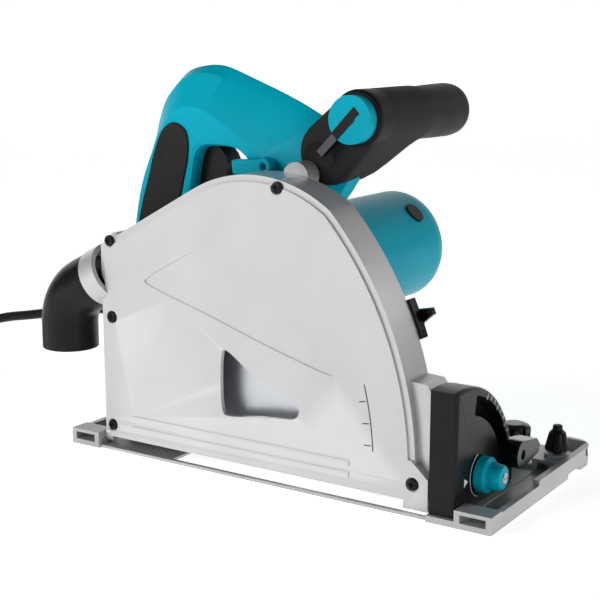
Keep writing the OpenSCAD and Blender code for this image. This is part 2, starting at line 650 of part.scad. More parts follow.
// Screw bodies, or the holes for them where extra is the room past each end
module housing_screw_rods(extra) for (c = housing_screw_at) {
    y_rod(c, handle_y1 - 2, handle_y1 - 0.4 + 3 * extra, 3.2);
    y_rod(c, handle_y0 + 4 - extra, handle_y1 - 2, 1.6);
}

// Front grip on its neck; the neck's side view is shared by the handle's cut
module neck_view(d) {
    disc(neck_c, neck_r + d);
    polygon([polar(neck_c, neck_r + d - 0.6, 146), polar(grip_c, grip_r + d - 0.6, 146),
        polar(grip_c, grip_r + d - 0.6, -27), polar(neck_c, neck_r + d - 0.6, -27)]);
    disc(grip_c, grip_r + d);
}
module front_grip() color("#2b2b2a") difference() {
    union() {
        y_slab(grip_y0, handle_y1) neck_view(0);
        y_rod(grip_c, grip_y0, grip_y0 + grip_l - 8, grip_r);
        translate([grip_c[0], grip_y0 + grip_l - 8, grip_c[1]]) rotate([-90, 0, 0])
            cylinder(h = 8, r1 = grip_r, r2 = grip_r - 6);
    }
    y_rod(grip_c, grip_y0 - 1, grip_y0 + 92, wrench_af * 0.62);
}
module front_grip_cap() color("#0092a6") difference() {
    y_rod(grip_c, grip_y0 - 8, grip_y0, grip_r - 3);
    y_rod(grip_c, grip_y0 - 9, grip_y0 + 1, wrench_af * 0.62);
    y_slab(grip_y0 - 9, grip_y0 - 2) wrench_slot(gap);
}
module wrench_slot(d) translate(grip_c) rotate(225)
    translate([-wrench_af/2 - d, -wrench_af/2 - d]) square([32 + 2*d, wrench_af + 2*d]);
module hex_wrench() color("silver") {
    translate([grip_c[0], grip_y0 - 8, grip_c[1]]) rotate([-90, 0, 0])
        cylinder(h = 96, d = wrench_af / cos(30), $fn = 6);
    y_slab(grip_y0 - 8, grip_y0 - 8 + wrench_af) wrench_slot(0);
}

// Trigger, hinged at its top in the handle's front face
trigger_pts = [[-84, 203], [-75, 200], [-65, 189], [-69, 173], [-77, 159], [-85, 149], [-95, 151],
    [-95, 171], [-92, 189]];
module trigger_space() y_slab(handle_mid - 8, handle_mid + 8) {
    disc(trigger_pin, 8);
    polygon([[-69, 208], [-69, 191], [-81, 143], [-107, 145], [-108, 179], [-99, 208]]);
}
module switch_space(d) block(-122 - d, -108 + d, handle_mid - 7 - d, handle_mid + 7 + d, 146 - d, 186 + d);
module trigger() color("#222222") {
    y_slab(handle_mid - 7.5, handle_mid + 7.5) polygon(smooth_loop(trigger_pts, 3));
    y_rod(trigger_pin, handle_mid - 10, handle_mid + 10, 2);
}
module trigger_switch() color("#333333") switch_space(0);
module lock_off_button() color("#1e1e1e") {
    y_rod(button_c, handle_mid + 2, handle_y1 + 3, 5);
    y_rod(button_c, handle_mid + 2, handle_mid + 4, 6.5);
}

// Lever that locks the saw body for changing the blade
module plunge_lock_lever() color("#0092a6") y_slab(gear_y0 + 5.4, handle_y0 - gap) difference() {
    union() {
        polygon([lever_at + [8, -5], lever_at + [8, 5], lever_at + [-18, 3], lever_at + [-17, -6]]);
        disc(lever_at + [6, 0], 5.5);
    }
    disc(lever_at + [6, 0], 2 + run);
}
module shaft_lock_button() color("#1e1e1e") {
    y_rod(polar(spindle_c, lock_r, lock_a), gear_y0 + 14.6, motor_y0 + 9.5, 2);
    y_rod(polar(spindle_c, lock_r + 3, lock_a), motor_y0 + 8.8, motor_y0 + 13, 4);
}
module speed_dial() color("#222222") y_ring(dial_c, dial_y, dial_y + 6, dial_r, 2.5);

module brush_caps() color("#1e1e1e") for (a = [45, 225]) brush_rod(a, motor_r - 4, motor_r + 1.2, 7.5);
module carbon_brushes() color("#444444") for (a = [45, 225]) brush_rod(a, 13.3, motor_r - 4, 4);

// Motor's insides
core_y0 = motor_y0 + 34;
core_l = 50;
module stator() color("#7a7d80") y_ring(motor_c, core_y0 - 4, core_y0 + core_l + 4, motor_r - motor_wall, 22.5);
module armature_shaft() color("silver") {
    y_rod(motor_c, gear_y0 + 15.5, end_y - 12.5, 4);
    y_slab(gear_y0 + 5, gear_y0 + 15.5) translate(motor_c) polygon(gear_pts(pinion_n, mesh_a + 180));
}
module armature_core() color("#8c6239") y_ring(motor_c, core_y0, core_y0 + core_l, 21.5, 4);
module commutator() color("#b87333") y_ring(motor_c, brush_y - 9, brush_y + 9, 13, 4);
module fan() color("#dddddd") difference() {
    union() {
        y_ring(motor_c, core_y0 - 18, core_y0 - 15.5, 30, 4);
        y_ring(motor_c, core_y0 - 18, core_y0 - 8, 8, 4);
        for (i = [0:11]) translate([motor_c[0], 0, motor_c[1]]) rotate([0, 30 * i, 0])
            block(10, 29, core_y0 - 16, core_y0 - 8, -0.8, 0.8);
    }
}
module armature_bearings() color("silver") {
    y_ring(motor_c, bearing_y, bearing_y + 7, 11, 4);
    y_ring(motor_c, end_y - 20, end_y - 13, 9.5, 4);
}

// Spindle and what turns with it
module spindle() color("silver") difference() {
    union() {
        y_rod(spindle_c, blade_y - 1.6, gear_y0 + 15.5, spindle_r);
        y_rod(spindle_c, gear_y0 + 15.4, motor_y0 + 6, tail_r);
    }
    y_rod(spindle_c, blade_y - 2, blade_y + 20, 4);
}
module spindle_gear() color("#8f9194") y_slab(gear_y0 + 5, gear_y0 + 14) difference() {
    translate(spindle_c) polygon(gear_pts(gear_n, mesh_a + 180 / gear_n));
    disc(spindle_c, spindle_r);
    for (i = [0:3]) disc(polar(spindle_c, lock_r, lock_a + 90 * i), 2.4);
}
module spindle_bearings() color("silver") {
    y_ring(spindle_c, blade_y + 7, blade_y + 14, 13, spindle_r + run);
    y_ring(spindle_c, motor_y0 + 0.4, motor_y0 + 6.4, 8, tail_r + run);
}
module inner_flange() color("#77797c") difference() {
    union() {
        y_rod(spindle_c, blade_y + blade_t/2, blade_y + 4.8, flange_r);
        y_rod(spindle_c, blade_y - blade_t/2 - 0.6, blade_y + blade_t/2 + 0.1, hub_r);
    }
    y_rod(spindle_c, blade_y - 5, blade_y + 6, spindle_r);
}
module outer_flange() color("#77797c") difference() {
    y_rod(spindle_c, blade_y - 4.5, blade_y - blade_t/2, flange_r);
    y_rod(spindle_c, blade_y - 2.4, blade_y, arbor_d/2 + 0.4);
    y_rod(spindle_c, blade_y - 6, blade_y, 4.2);
}
module arbor_bolt() color("#3c3c3c") {
    translate([spindle_c[0], blade_y - 9.5, spindle_c[1]]) rotate([-90, 0, 0]) cylinder(h = 5, r = 7, $fn = 6);
    y_rod(spindle_c, blade_y - 4.5, blade_y + 12, 4);
}
module saw_blade() color("#c9cbcc") y_slab(blade_y - blade_t/2, blade_y + blade_t/2) difference() {
    translate(spindle_c) polygon([for (i = [0:blade_teeth-1], s = [0:2])
        let (a = (i + [0, 0.2, 0.35][s]) * 360 / blade_teeth, r = blade_r - [0, 4.2, 2.6][s])
        [r * cos(a), r * sin(a)]]);
    disc(spindle_c, arbor_d/2);
    for (i = [0:3]) disc(polar(spindle_c, blade_r - 20, 45 + 90 * i), 4);
}

// Strain relief on the handle, and the free cord with its coil and plug
guard_a = 11;
module guard_rod(s0, s1, r) translate([-146, guard_tip[1], guard_tip[2] + 50 * tan(guard_a)])
    rotate([0, -90 - guard_a, 0]) translate([0, 0, s0]) cylinder(h = s1 - s0, r = r);
module cord_guard() color("#1e1e1e") {
    guard_rod(-6, 4, 8);
    translate([-146, guard_tip[1], guard_tip[2] + 50 * tan(guard_a)]) rotate([0, -90 - guard_a, 0])
        translate([0, 0, 4]) cylinder(h = 50 / cos(guard_a) - 4.5, r1 = 7.5, r2 = 4.6);
}
module cord() color("#141414") tube(smooth_path(cord_pts, 2), cord_r, 10);
function smooth_path(p, n) = let (k = len(p)) concat([for (i = [0:k-2], j = [0:n-1])
    let (a = p[max(i-1, 0)], b = p[i], c = p[i+1], d = p[min(i+2, k-1)], t = j / n)
    0.5 * (2*b + (c-a)*t + (2*a - 5*b + 4*c - d)*t*t + (3*b - a - 3*c + d)*t*t*t)], [p[k-1]]);
coil_in = coil_mid - coil_turns * cord_r;
coil_out = coil_mid + coil_turns * cord_r;
module cord_coil() color("#141414") translate([coil_c[0], coil_c[1], 0]) difference() {
    cylinder(h = coil_turns * cord_d, r = coil_out);
    translate([0, 0, -1]) cylinder(h = coil_turns * cord_d + 2, r = coil_in);
}
plug_z = coil_turns * cord_d + 18;
module plug() color("#141414") translate([coil_c[0] + 18.5, coil_c[1] - 28, plug_z]) rotate([0, -90, 0]) {
    cylinder(h = 12, r = 18);
    translate([0, 0, 12]) cylinder(h = 24, r1 = 17, r2 = 9);
    for (s = [-1, 1]) translate([0, 9.5 * s, -19]) cylinder(h = 19.5, r = 2.4);
}

base_plate();
front_angle_guide();
rear_angle_guide();
bevel_pins();
guide_screws();
stop_selector();
front_rip_screw();
rear_rip_screw();
front_rail_adjuster();
rear_rail_adjuster();
case_inner();
case_cover();
cover_screws();
plunge_shaft();
return_spring();
clamp_bolts();
front_clamp_lever();
rear_clamp_lever();
depth_stop_slider();
depth_stop_knob();
dust_nozzle();
gear_housing();
motor_housing();
motor_end_cover();
handle_left();
handle_right();
grip_rubber_left();
grip_rubber_right();
housing_screws();
front_grip();
front_grip_cap();
hex_wrench();
trigger();
trigger_switch();
lock_off_button();
plunge_lock_lever();
shaft_lock_button();
speed_dial();
brush_caps();
carbon_brushes();
stator();
armature_shaft();
armature_core();
commutator();
fan();
armature_bearings();
spindle();
spindle_gear();
spindle_bearings();
inner_flange();
outer_flange();
arbor_bolt();
saw_blade();
cord_guard();
cord();
cord_coil();
plug();
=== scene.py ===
"""Track plunge saw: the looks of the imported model, laid out as an add-on and run as a script."""
import math
import bpy
from bpy.props import FloatProperty, FloatVectorProperty, PointerProperty
from mathutils import Matrix, Vector


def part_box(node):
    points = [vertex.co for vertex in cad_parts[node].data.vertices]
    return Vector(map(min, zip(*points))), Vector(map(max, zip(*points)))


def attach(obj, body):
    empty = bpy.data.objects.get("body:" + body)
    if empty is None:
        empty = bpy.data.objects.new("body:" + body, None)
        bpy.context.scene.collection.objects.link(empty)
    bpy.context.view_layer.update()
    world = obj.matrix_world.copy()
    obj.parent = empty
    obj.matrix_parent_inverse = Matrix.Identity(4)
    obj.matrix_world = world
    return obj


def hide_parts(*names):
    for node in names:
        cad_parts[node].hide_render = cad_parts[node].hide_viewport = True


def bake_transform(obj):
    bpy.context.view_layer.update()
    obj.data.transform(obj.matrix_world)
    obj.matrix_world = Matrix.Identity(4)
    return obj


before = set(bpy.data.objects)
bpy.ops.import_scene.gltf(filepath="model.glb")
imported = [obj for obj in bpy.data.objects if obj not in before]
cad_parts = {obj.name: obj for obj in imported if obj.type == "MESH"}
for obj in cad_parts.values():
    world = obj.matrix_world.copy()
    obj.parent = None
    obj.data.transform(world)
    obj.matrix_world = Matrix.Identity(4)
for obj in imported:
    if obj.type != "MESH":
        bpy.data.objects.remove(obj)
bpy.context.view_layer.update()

bl_info = {
    "name": "Track plunge saw",
    "version": (1, 0, 0),
    "blender": (4, 5, 0),
    "location": "View3D > Sidebar > Plunge saw",
    "description": "Builds the shells, grips, knobs and finishes of a track plunge saw on its frame",
    "category": "Object",
}

MM = 0.001


def linear(hex_colour):
    """An sRGB hex colour as linear values."""
    parts = [int(hex_colour[i:i + 2], 16) / 255 for i in (0, 2, 4)]
    return [c / 12.92 if c <= 0.04045 else ((c + 0.055) / 1.055) ** 2.4 for c in parts]


# ------------------------------------------------------------------ modelling by hand

def clear_selection():
    """Leaves edit mode and deselects everything."""
    if bpy.context.object and bpy.context.object.mode != 'OBJECT':
        bpy.ops.object.mode_set(mode='OBJECT')
    bpy.ops.object.select_all(action='DESELECT')


def pick(obj):
    """Makes obj the only selected object."""
    clear_selection()
    obj.select_set(True)
    bpy.context.view_layer.objects.active = obj


def settle(obj):
    """Puts obj's place, turn and size into its mesh."""
    pick(obj)
    bpy.ops.object.transform_apply(location=True, rotation=True, scale=True)
    return obj


def outward(obj, merge=0.0):
    """Merges doubled corners and turns the faces outwards."""
    pick(obj)
    bpy.ops.object.mode_set(mode='EDIT')
    bpy.ops.mesh.select_all(action='SELECT')
    if merge:
        bpy.ops.mesh.remove_doubles(threshold=merge * MM)
    bpy.ops.mesh.normals_make_consistent(inside=False)
    bpy.ops.object.mode_set(mode='OBJECT')
    return obj


def seen(axis, a, b, t):
    """A point of a view along an axis, in metres: a and b across it, t along it."""
    return Vector({'X': (t, a, b), 'Y': (a, t, b), 'Z': (a, b, t)}[axis]) * MM


def prism(name, outline, axis, low, high):
    """An outline in millimetres, drawn as a flat face and extruded along the axis."""
    clear_selection()
    bpy.ops.mesh.primitive_circle_add(vertices=len(outline), fill_type='NGON')
    obj = bpy.context.object
    obj.name = name
    for corner, (a, b) in zip(obj.data.vertices, outline):
        corner.co = seen(axis, a, b, low)
    bpy.ops.object.mode_set(mode='EDIT')
    bpy.ops.mesh.select_all(action='SELECT')
    step = seen(axis, 0, 0, high - low)
    bpy.ops.mesh.extrude_region_move(TRANSFORM_OT_translate={"value": step})
    return outward(obj)


def lofted(name, loops, axis):
    """Outlines of the same number of points, extruded one onto the next: (place along the axis, outline)."""
    low, outline = loops[0]
    clear_selection()
    bpy.ops.mesh.primitive_circle_add(vertices=len(outline), fill_type='NGON')
    obj = bpy.context.object
    obj.name = name
    for corner, (a, b) in zip(obj.data.vertices, outline):
        corner.co = seen(axis, a, b, low)
    bpy.ops.object.mode_set(mode='EDIT')
    bpy.ops.mesh.select_all(action='SELECT')
    for place, outline in loops[1:]:
        bpy.ops.object.mode_set(mode='EDIT')
        bpy.ops.mesh.extrude_region_move()
        bpy.ops.object.mode_set(mode='OBJECT')
        moved = [v for v in obj.data.vertices if v.select]
        for corner, (a, b) in zip(moved, outline):
            corner.co = seen(axis, a, b, place)
    return outward(obj)


def turned(name, profile, origin, direction, sides=64):
    """A turned piece: rings of (distance, radius) in millimetres, extruded and scaled one by one."""
    clear_selection()
    at, radius = profile[0]
    bpy.ops.mesh.primitive_circle_add(vertices=sides, radius=radius * MM, fill_type='NGON')
    obj = bpy.context.object
    obj.name = name
    bpy.ops.object.mode_set(mode='EDIT')
    bpy.ops.mesh.select_all(action='SELECT')
    for distance, wide in profile[1:]:
        bpy.ops.mesh.extrude_region_move(
            TRANSFORM_OT_translate={"value": (0, 0, (distance - at) * MM)})
        bpy.ops.transform.resize(
            value=(wide / radius, wide / radius, 1), center_override=(0, 0, 0))
        at, radius = distance, wide
    bpy.ops.object.mode_set(mode='OBJECT')
    turn = Vector(direction).to_track_quat('Z', 'Y').to_matrix().to_4x4()
    start = Vector(origin) * MM + turn @ Vector((0, 0, profile[0][0] * MM))
    obj.matrix_world = Matrix.Translation(start) @ turn
    return outward(settle(obj))


def rod(name, start, end, radius, tip=None, sides=48):
    """A round rod or cone between two points in millimetres."""
    along = Vector(end) - Vector(start)
    return turned(name, [(0, radius), (along.length, tip or radius)], start, along, sides)


def block(name, low, high):
    """A box between two corners in millimetres."""
    x0, y0, z0 = low
    x1, y1, z1 = high
    return prism(name, [(x0, y0), (x1, y0), (x1, y1), (x0, y1)], 'Z', z0, z1)


def cad_copy(node, name):
    """A merged copy of a CAD node with its flat faces whole again, ready to be shaped."""
    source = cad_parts[node]
    clear_selection()
    obj = source.copy()
    obj.data = source.data.copy()
    obj.name = name
    for key in list(obj.keys()):
        del obj[key]
    bpy.context.scene.collection.objects.link(obj)
    obj.parent = None
    obj.matrix_world = Matrix.Identity(4)
    obj.data.materials.clear()
    pick(obj)
    bpy.ops.object.mode_set(mode='EDIT')
    bpy.ops.mesh.select_all(action='SELECT')
    bpy.ops.mesh.customdata_custom_splitnormals_clear()
    bpy.ops.mesh.remove_doubles(threshold=0.004 * MM)
    bpy.ops.mesh.dissolve_limited(angle_limit=math.radians(0.6))
    bpy.ops.object.mode_set(mode='OBJECT')
    return obj


def soften(obj, width, segments=2, angle=30):
    """Rounds every edge sharper than the angle."""
    pick(obj)
    rounder = obj.modifiers.new("Edge round", 'BEVEL')
    rounder.width = width * MM
    rounder.segments = segments
    rounder.limit_method = 'ANGLE'
    rounder.angle_limit = math.radians(angle)
    rounder.use_clamp_overlap = True
    bpy.ops.object.modifier_apply(modifier=rounder.name)
    return obj


def chamfer_side(obj, axis, plane, width, segments=1, inside=None):
    """Bevels the edges that lie in one plane across the axis."""
    pick(obj)
    bpy.ops.object.mode_set(mode='EDIT')
    bpy.ops.mesh.select_mode(type='EDGE')
    bpy.ops.mesh.select_all(action='DESELECT')
    bpy.ops.object.mode_set(mode='OBJECT')
    index = 'XYZ'.index(axis)
    points = obj.data.vertices
    for edge in obj.data.edges:
        ends = [points[i].co for i in edge.vertices]
        flat = all(abs(p[index] - plane * MM) < 0.02 * MM for p in ends)
        edge.select = flat and (inside is None or all(inside(p / MM) for p in ends))
    bpy.ops.object.mode_set(mode='EDIT')
    bpy.ops.mesh.bevel(offset=width * MM, segments=segments, affect='EDGES', clamp_overlap=True)
    bpy.ops.mesh.select_mode(type='VERT')
    bpy.ops.object.mode_set(mode='OBJECT')
    return obj


def carve(obj, *cutters):
    """Cuts the cutters out of obj and removes them."""
    for cutter in cutters:
        pick(obj)
        cut = obj.modifiers.new("Cut", 'BOOLEAN')
        cut.operation = 'DIFFERENCE'
        cut.solver = 'EXACT'
        cut.object = cutter
        bpy.ops.object.modifier_apply(modifier=cut.name)
        bpy.data.objects.remove(cutter, do_unlink=True)
    return obj


def weld(name, pieces):
    """Joins loose pieces into one object."""
    clear_selection()
    for piece in pieces:
        piece.select_set(True)
    bpy.context.view_layer.objects.active = pieces[0]
    bpy.ops.object.join()
    joined = bpy.context.object
    joined.name = name
    return joined


def repeat(obj, moves):
    """Copies of obj, each with its own mesh, one per move."""
    made = []
    for move in moves:
        twin = obj.copy()
        twin.data = obj.data.copy()
        bpy.context.scene.collection.objects.link(twin)
        twin.matrix_world = move
        made.append(settle(twin))
    bpy.data.objects.remove(obj, do_unlink=True)
    return made


def smooth_loop(points, n=5):
    """A closed smooth curve through the points, n steps to each stretch."""
    k = len(points)
    made = []
    for i in range(k):
        a, b, c, d = (Vector(points[(i + j) % k]) for j in (-1, 0, 1, 2))
        for j in range(n):
            t = j / n
            made.append(tuple(0.5 * (
                2 * b + (c - a) * t + (2 * a - 5 * b + 4 * c - d) * t * t
                + (3 * b - a - 3 * c + d) * t ** 3)))
    return made


def arc(centre, radius, start, end, n):
    """Points along an arc, angles in degrees."""
    turn = [math.radians(start + (end - start) * i / n) for i in range(n + 1)]
    return [(centre[0] + radius * math.cos(a), centre[1] + radius * math.sin(a)) for a in turn]


def finish(obj, material, body, nodes=(), angle=32):
    """Gives a piece its material, its smooth faces and its body, and hides the CAD nodes it stands for."""
    pick(obj)
    obj.data.materials.clear()
    obj.data.materials.append(material)
    bpy.ops.object.shade_smooth_by_angle(angle=math.radians(angle))
    even = obj.modifiers.new("Even shading", 'WEIGHTED_NORMAL')
    even.keep_sharp = True
    even.weight = 90
    bpy.ops.object.modifier_apply(modifier=even.name)
    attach(obj, body)
    if nodes:
        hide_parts(*nodes)
    return obj


def coat(material, *nodes):
    """Gives CAD nodes a better material."""
    for node in nodes:
        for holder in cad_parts[node].material_slots:
            holder.link = 'OBJECT'
            holder.material = material


# ------------------------------------------------------------------ materials

def add_node(mat, kind, settings=(), links=()):
    """Adds a shader node, sets its inputs and properties, and links what feeds it."""
    tree = mat.node_tree
    node = tree.nodes.new("ShaderNode" + kind)
    for key, value in dict(settings).items():
        if key == "stops":
            stops = node.color_ramp.elements
            for i, (place, colour) in enumerate(value):
                stop = stops[i] if i < 2 else stops.new(place)
                stop.position = place
                stop.color = (*colour, 1.0)
        elif isinstance(key, int) or key in node.inputs:
            node.inputs[key].default_value = value
        else:
            setattr(node, key, value)
    for key, source in dict(links).items():
        tree.links.new(source, node.inputs[key])
    return node


def new_finish(name, metallic=0.0, roughness=0.5, **extra):
    """A new material with its shader, its output and the object's own coordinates."""
    mat = bpy.data.materials.new(name)
    mat.use_nodes = True
    mat.node_tree.nodes.clear()
    shader = add_node(mat, "BsdfPrincipled", {"Metallic": metallic, "Roughness": roughness, **extra})
    add_node(mat, "OutputMaterial", links={"Surface": shader.outputs[0]})
    place = add_node(mat, "TexCoord").outputs["Object"]
    return mat, shader, place


def grained(name, colour, metallic, roughness, grain, depth, drift=0.06, spread=0.08, dull=0.5, **extra):
    """A surface of one colour with a fine grain of a real size, a slow drift and worn edges."""
    mat, shader, place = new_finish(name, metallic, roughness, **{"Specular IOR Level": dull}, **extra)
    links = mat.node_tree.links
    fine = add_node(mat, "TexNoise", {"Scale": 1 / (grain * MM), "Detail": 3.0, "Roughness": 0.6},
                    {"Vector": place})
    slow = add_node(mat, "TexNoise", {"Scale": 22.0, "Detail": 2.0}, {"Vector": place})
    both = add_node(mat, "Math", {"operation": 'MULTIPLY_ADD', 1: 0.35},
                    {0: fine.outputs[0], 2: slow.outputs[0]})
    tone = add_node(mat, "ValToRGB", {"stops": [
        (0.45, [c * (1 - drift) for c in colour]), (0.85, [min(1, c * (1 + drift)) for c in colour])]},
        {"Fac": both.outputs[0]})
    edge = add_node(mat, "NewGeometry").outputs["Pointiness"]
    worn = add_node(mat, "MapRange", {"From Min": 0.53, "From Max": 0.62, "To Min": 0.0, "To Max": 0.16},
                    {"Value": edge})
    lit = add_node(mat, "Mix", {"data_type": 'RGBA', "blend_type": 'ADD', 7: [*colour, 1.0]},
                   {0: worn.outputs[0], 6: tone.outputs[0]})
    rough = add_node(mat, "MapRange", {
        "From Min": 0.3, "From Max": 0.7, "To Min": roughness - spread, "To Max": roughness + spread},
        {"Value": fine.outputs[0]})
    bump = add_node(mat, "Bump", {"Strength": 0.6, "Distance": depth * MM}, {"Height": fine.outputs[0]})
    links.new(lit.outputs[2], shader.inputs["Base Color"])
    links.new(rough.outputs[0], shader.inputs["Roughness"])
    links.new(bump.outputs[0], shader.inputs["Normal"])
    return mat


def brushed(name, colour, roughness, along, grain=0.25):
    """Ground or drawn steel: hair-fine lines that run one way."""
    mat, shader, place = new_finish(name, 1.0, roughness)
    stretch = [1 / (grain * MM)] * 3
    stretch['XYZ'.index(along)] = 1 / (12 * MM)
    way = add_node(mat, "Mapping", {"Scale": stretch}, {"Vector": place})
    hair = add_node(mat, "TexNoise", {"Scale": 1.0, "Detail": 4.0, "Roughness": 0.7},
                    {"Vector": way.outputs[0]})
    tone = add_node(mat, "ValToRGB", {"stops": [
        (0.3, [c * 0.82 for c in colour]), (0.75, [min(1, c * 1.06) for c in colour])]},
        {"Fac": hair.outputs[0]})
    rough = add_node(mat, "MapRange", {"To Min": roughness - 0.08, "To Max": roughness + 0.12},
                     {"Value": hair.outputs[0]})
    bump = add_node(mat, "Bump", {"Strength": 0.35, "Distance": 0.01 * MM}, {"Height": hair.outputs[0]})
    links = mat.node_tree.links
    links.new(tone.outputs[0], shader.inputs["Base Color"])
    links.new(rough.outputs[0], shader.inputs["Roughness"])
    links.new(bump.outputs[0], shader.inputs["Normal"])
    return mat


def rings(name, colour, centre, spacing, roughness, metallic=1.0, contrast=0.16):
    """Rings about an axis along Y: ground blade steel, stacked sheets or copper bars."""
    mat, shader, place = new_finish(name, metallic, roughness)
    about = add_node(mat, "Mapping", {"Location": [-centre[0] * MM, 0.0, -centre[1] * MM]}, {"Vector": place})
    flat = add_node(mat, "VectorMath", {"operation": 'MULTIPLY', 1: (1.0, 0.0, 1.0)}, {0: about.outputs[0]})
    out = add_node(mat, "VectorMath", {"operation": 'LENGTH'}, {0: flat.outputs[0]})
    lines = add_node(mat, "TexNoise", {"noise_dimensions": '1D', "Scale": 1 / (spacing * MM), "Detail": 5.0},
                     {"W": out.outputs["Value"]})
    smudge = add_node(mat, "TexNoise", {"Scale": 60.0, "Detail": 3.0}, {"Vector": place})
    both = add_node(mat, "Math", {"operation": 'MULTIPLY_ADD', 1: 0.4},
                    {0: smudge.outputs[0], 2: lines.outputs[0]})
    tone = add_node(mat, "ValToRGB", {"stops": [
        (0.4, [c * (1 - contrast) for c in colour]), (0.95, [min(1, c * (1 + contrast)) for c in colour])]},
        {"Fac": both.outputs[0]})
    rough = add_node(mat, "MapRange", {"To Min": roughness - 0.07, "To Max": roughness + 0.1},
                     {"Value": both.outputs[0]})
    bump = add_node(mat, "Bump", {"Strength": 0.3, "Distance": 0.015 * MM}, {"Height": lines.outputs[0]})
    links = mat.node_tree.links
    links.new(tone.outputs[0], shader.inputs["Base Color"])
    links.new(rough.outputs[0], shader.inputs["Roughness"])
    links.new(bump.outputs[0], shader.inputs["Normal"])
    return mat


def stippled(name, colour, roughness, pitch, depth):
    """Soft moulded rubber: matt, with a close stipple of tiny round bumps."""
    mat, shader, place = new_finish(name, 0.0, roughness, **{"Specular IOR Level": 0.18})
    dots = add_node(mat, "TexVoronoi", {"Scale": 1 / (pitch * MM), "Randomness": 0.5}, {"Vector": place})
    dust = add_node(mat, "TexNoise", {"Scale": 60.0, "Detail": 5.0}, {"Vector": place})
    both = add_node(mat, "Math", {"operation": 'MULTIPLY_ADD', 1: 0.25},
                    {0: dots.outputs[0], 2: dust.outputs[0]})
    tone = add_node(mat, "ValToRGB", {"stops": [
        (0.4, [c * 0.85 for c in colour]), (0.85, [c * 1.18 for c in colour])]}, {"Fac": both.outputs[0]})
    rough = add_node(mat, "MapRange", {"To Min": roughness - 0.1, "To Max": roughness + 0.12},
                     {"Value": dust.outputs[0]})
    bump = add_node(mat, "Bump", {"Strength": 0.5, "Distance": depth * MM, "invert": True},
                    {"Height": dots.outputs[0]})
    links = mat.node_tree.links
    links.new(tone.outputs[0], shader.inputs["Base Color"])
    links.new(rough.outputs[0], shader.inputs["Roughness"])
    links.new(bump.outputs[0], shader.inputs["Normal"])
    return mat


FINISHES = {}


def mix_finishes(look):
    """Makes every material of the saw from the user's colours."""
    FINISHES.update({
        # Die-cast case under light silver lacquer: metal flake, a faint orange peel, soft broad gloss.
        "silver": grained("Silver lacquer on die-cast case", look.case_colour, 0.35, 0.36, 0.5, 0.03,
                          0.035, 0.05, **{"Coat Weight": 0.25, "Coat Roughness": 0.25}),
        # Tumbled aluminium casting: bright grey with a fine sandy skin.
        "casting": grained("Tumbled cast aluminium", look.sole_colour, 0.45, 0.42, 0.9, 0.05, 0.09, 0.1),
        # ABS with a spark-eroded mould skin: satin with tiny even pits.
        "abs": grained("Moulded teal ABS", look.shell_colour, 0.0, 0.34, 0.55, 0.02, 0.04, 0.05, dull=0.08),
        # Darker teal for the motor seam ring: the shell colour at 0.55, painted shade of the seam's groove.
        "abs_painted_seam_shade": grained("Teal ABS darkened for painted seam shade", [c * 0.55 for c in look.shell_colour], 0.0, 0.36,
                            0.55, 0.025, 0.05, 0.05, dull=0.3),
        # Glass-filled nylon: near-black, satin, a coarser skin than ABS.
        "nylon": grained("Moulded black nylon", look.nylon_colour, 0.0, 0.34, 0.7, 0.02, 0.15, 0.07,
                         dull=0.22),
        # Powder-coated or polished black levers and knobs: wet-looking, smooth.
        "gloss": grained("Polished black phenolic", linear("0A0A0A"), 0.0, 0.2, 1.4, 0.012, 0.12, 0.05,
                         dull=0.5),
        # Over-moulded soft rubber.
        "rubber": stippled("Over-moulded grey rubber", look.rubber_colour, 0.66, 1.1, 0.05),
        "rubber_black": stippled("Black grip rubber", linear("161616"), 0.5, 1.3, 0.04),
        # Blackened screws: dark, with a dull metal gleam.
        "oxide": grained("Black oxide steel", linear("26262A"), 0.85, 0.38, 0.4, 0.015, 0.2, 0.1),
        # Bright zinc on drawn bar.
        "steel": brushed("Drawn steel bar", linear("B9BABC"), 0.28, 'Y'),
        "steel_x": brushed("Drawn steel pin", linear("B9BABC"), 0.3, 'X'),
        # Chromed tool steel of the stowed wrench, darker than the pins.
        "tool": brushed("Chromed tool steel", linear("55575A"), 0.3, 'Y', 0.5),
        "ground": rings("Ground blade steel", linear("C9CCD0"), SPINDLE, 0.35, 0.3),
        "gear": rings("Hobbed gear steel", linear("8F9194"), SPINDLE, 0.5, 0.35),
        "flange": rings("Turned steel flange", linear("6D6F73"), SPINDLE, 0.3, 0.38),
        "race": rings("Hardened bearing steel", linear("C2C4C6"), MOTOR, 0.6, 0.22),
        "sheet": rings("Laminated motor steel", linear("74777A"), MOTOR, 0.5, 0.42, contrast=0.3),
        "winding": rings("Enamelled copper winding", linear("A8622F"), MOTOR, 0.5, 0.34, 0.7, 0.35),
        "copper": rings("Turned copper bars", linear("B87333"), MOTOR, 0.4, 0.3, contrast=0.2),
        "carbon": grained("Pressed carbon", linear("303030"), 0.1, 0.6, 0.3, 0.03, 0.3),
        "fan": grained("Moulded white nylon", linear("D8D8D2"), 0.0, 0.45, 0.7, 0.03),
        "ink": grained("White pad print", linear("ECECEC"), 0.0, 0.45, 0.5, 0.005),
        "mark": grained("Dark engraved line", linear("4A4C50"), 0.3, 0.5, 0.5, 0.01),
        "sheath": stippled("Rubber cord sheath", linear("0E0E0E"), 0.5, 2.0, 0.03),
        "tie": stippled("Woven hook tape", linear("2C2C2C"), 0.8, 1.0, 0.12),
    })


# ------------------------------------------------------------------ what a user would change

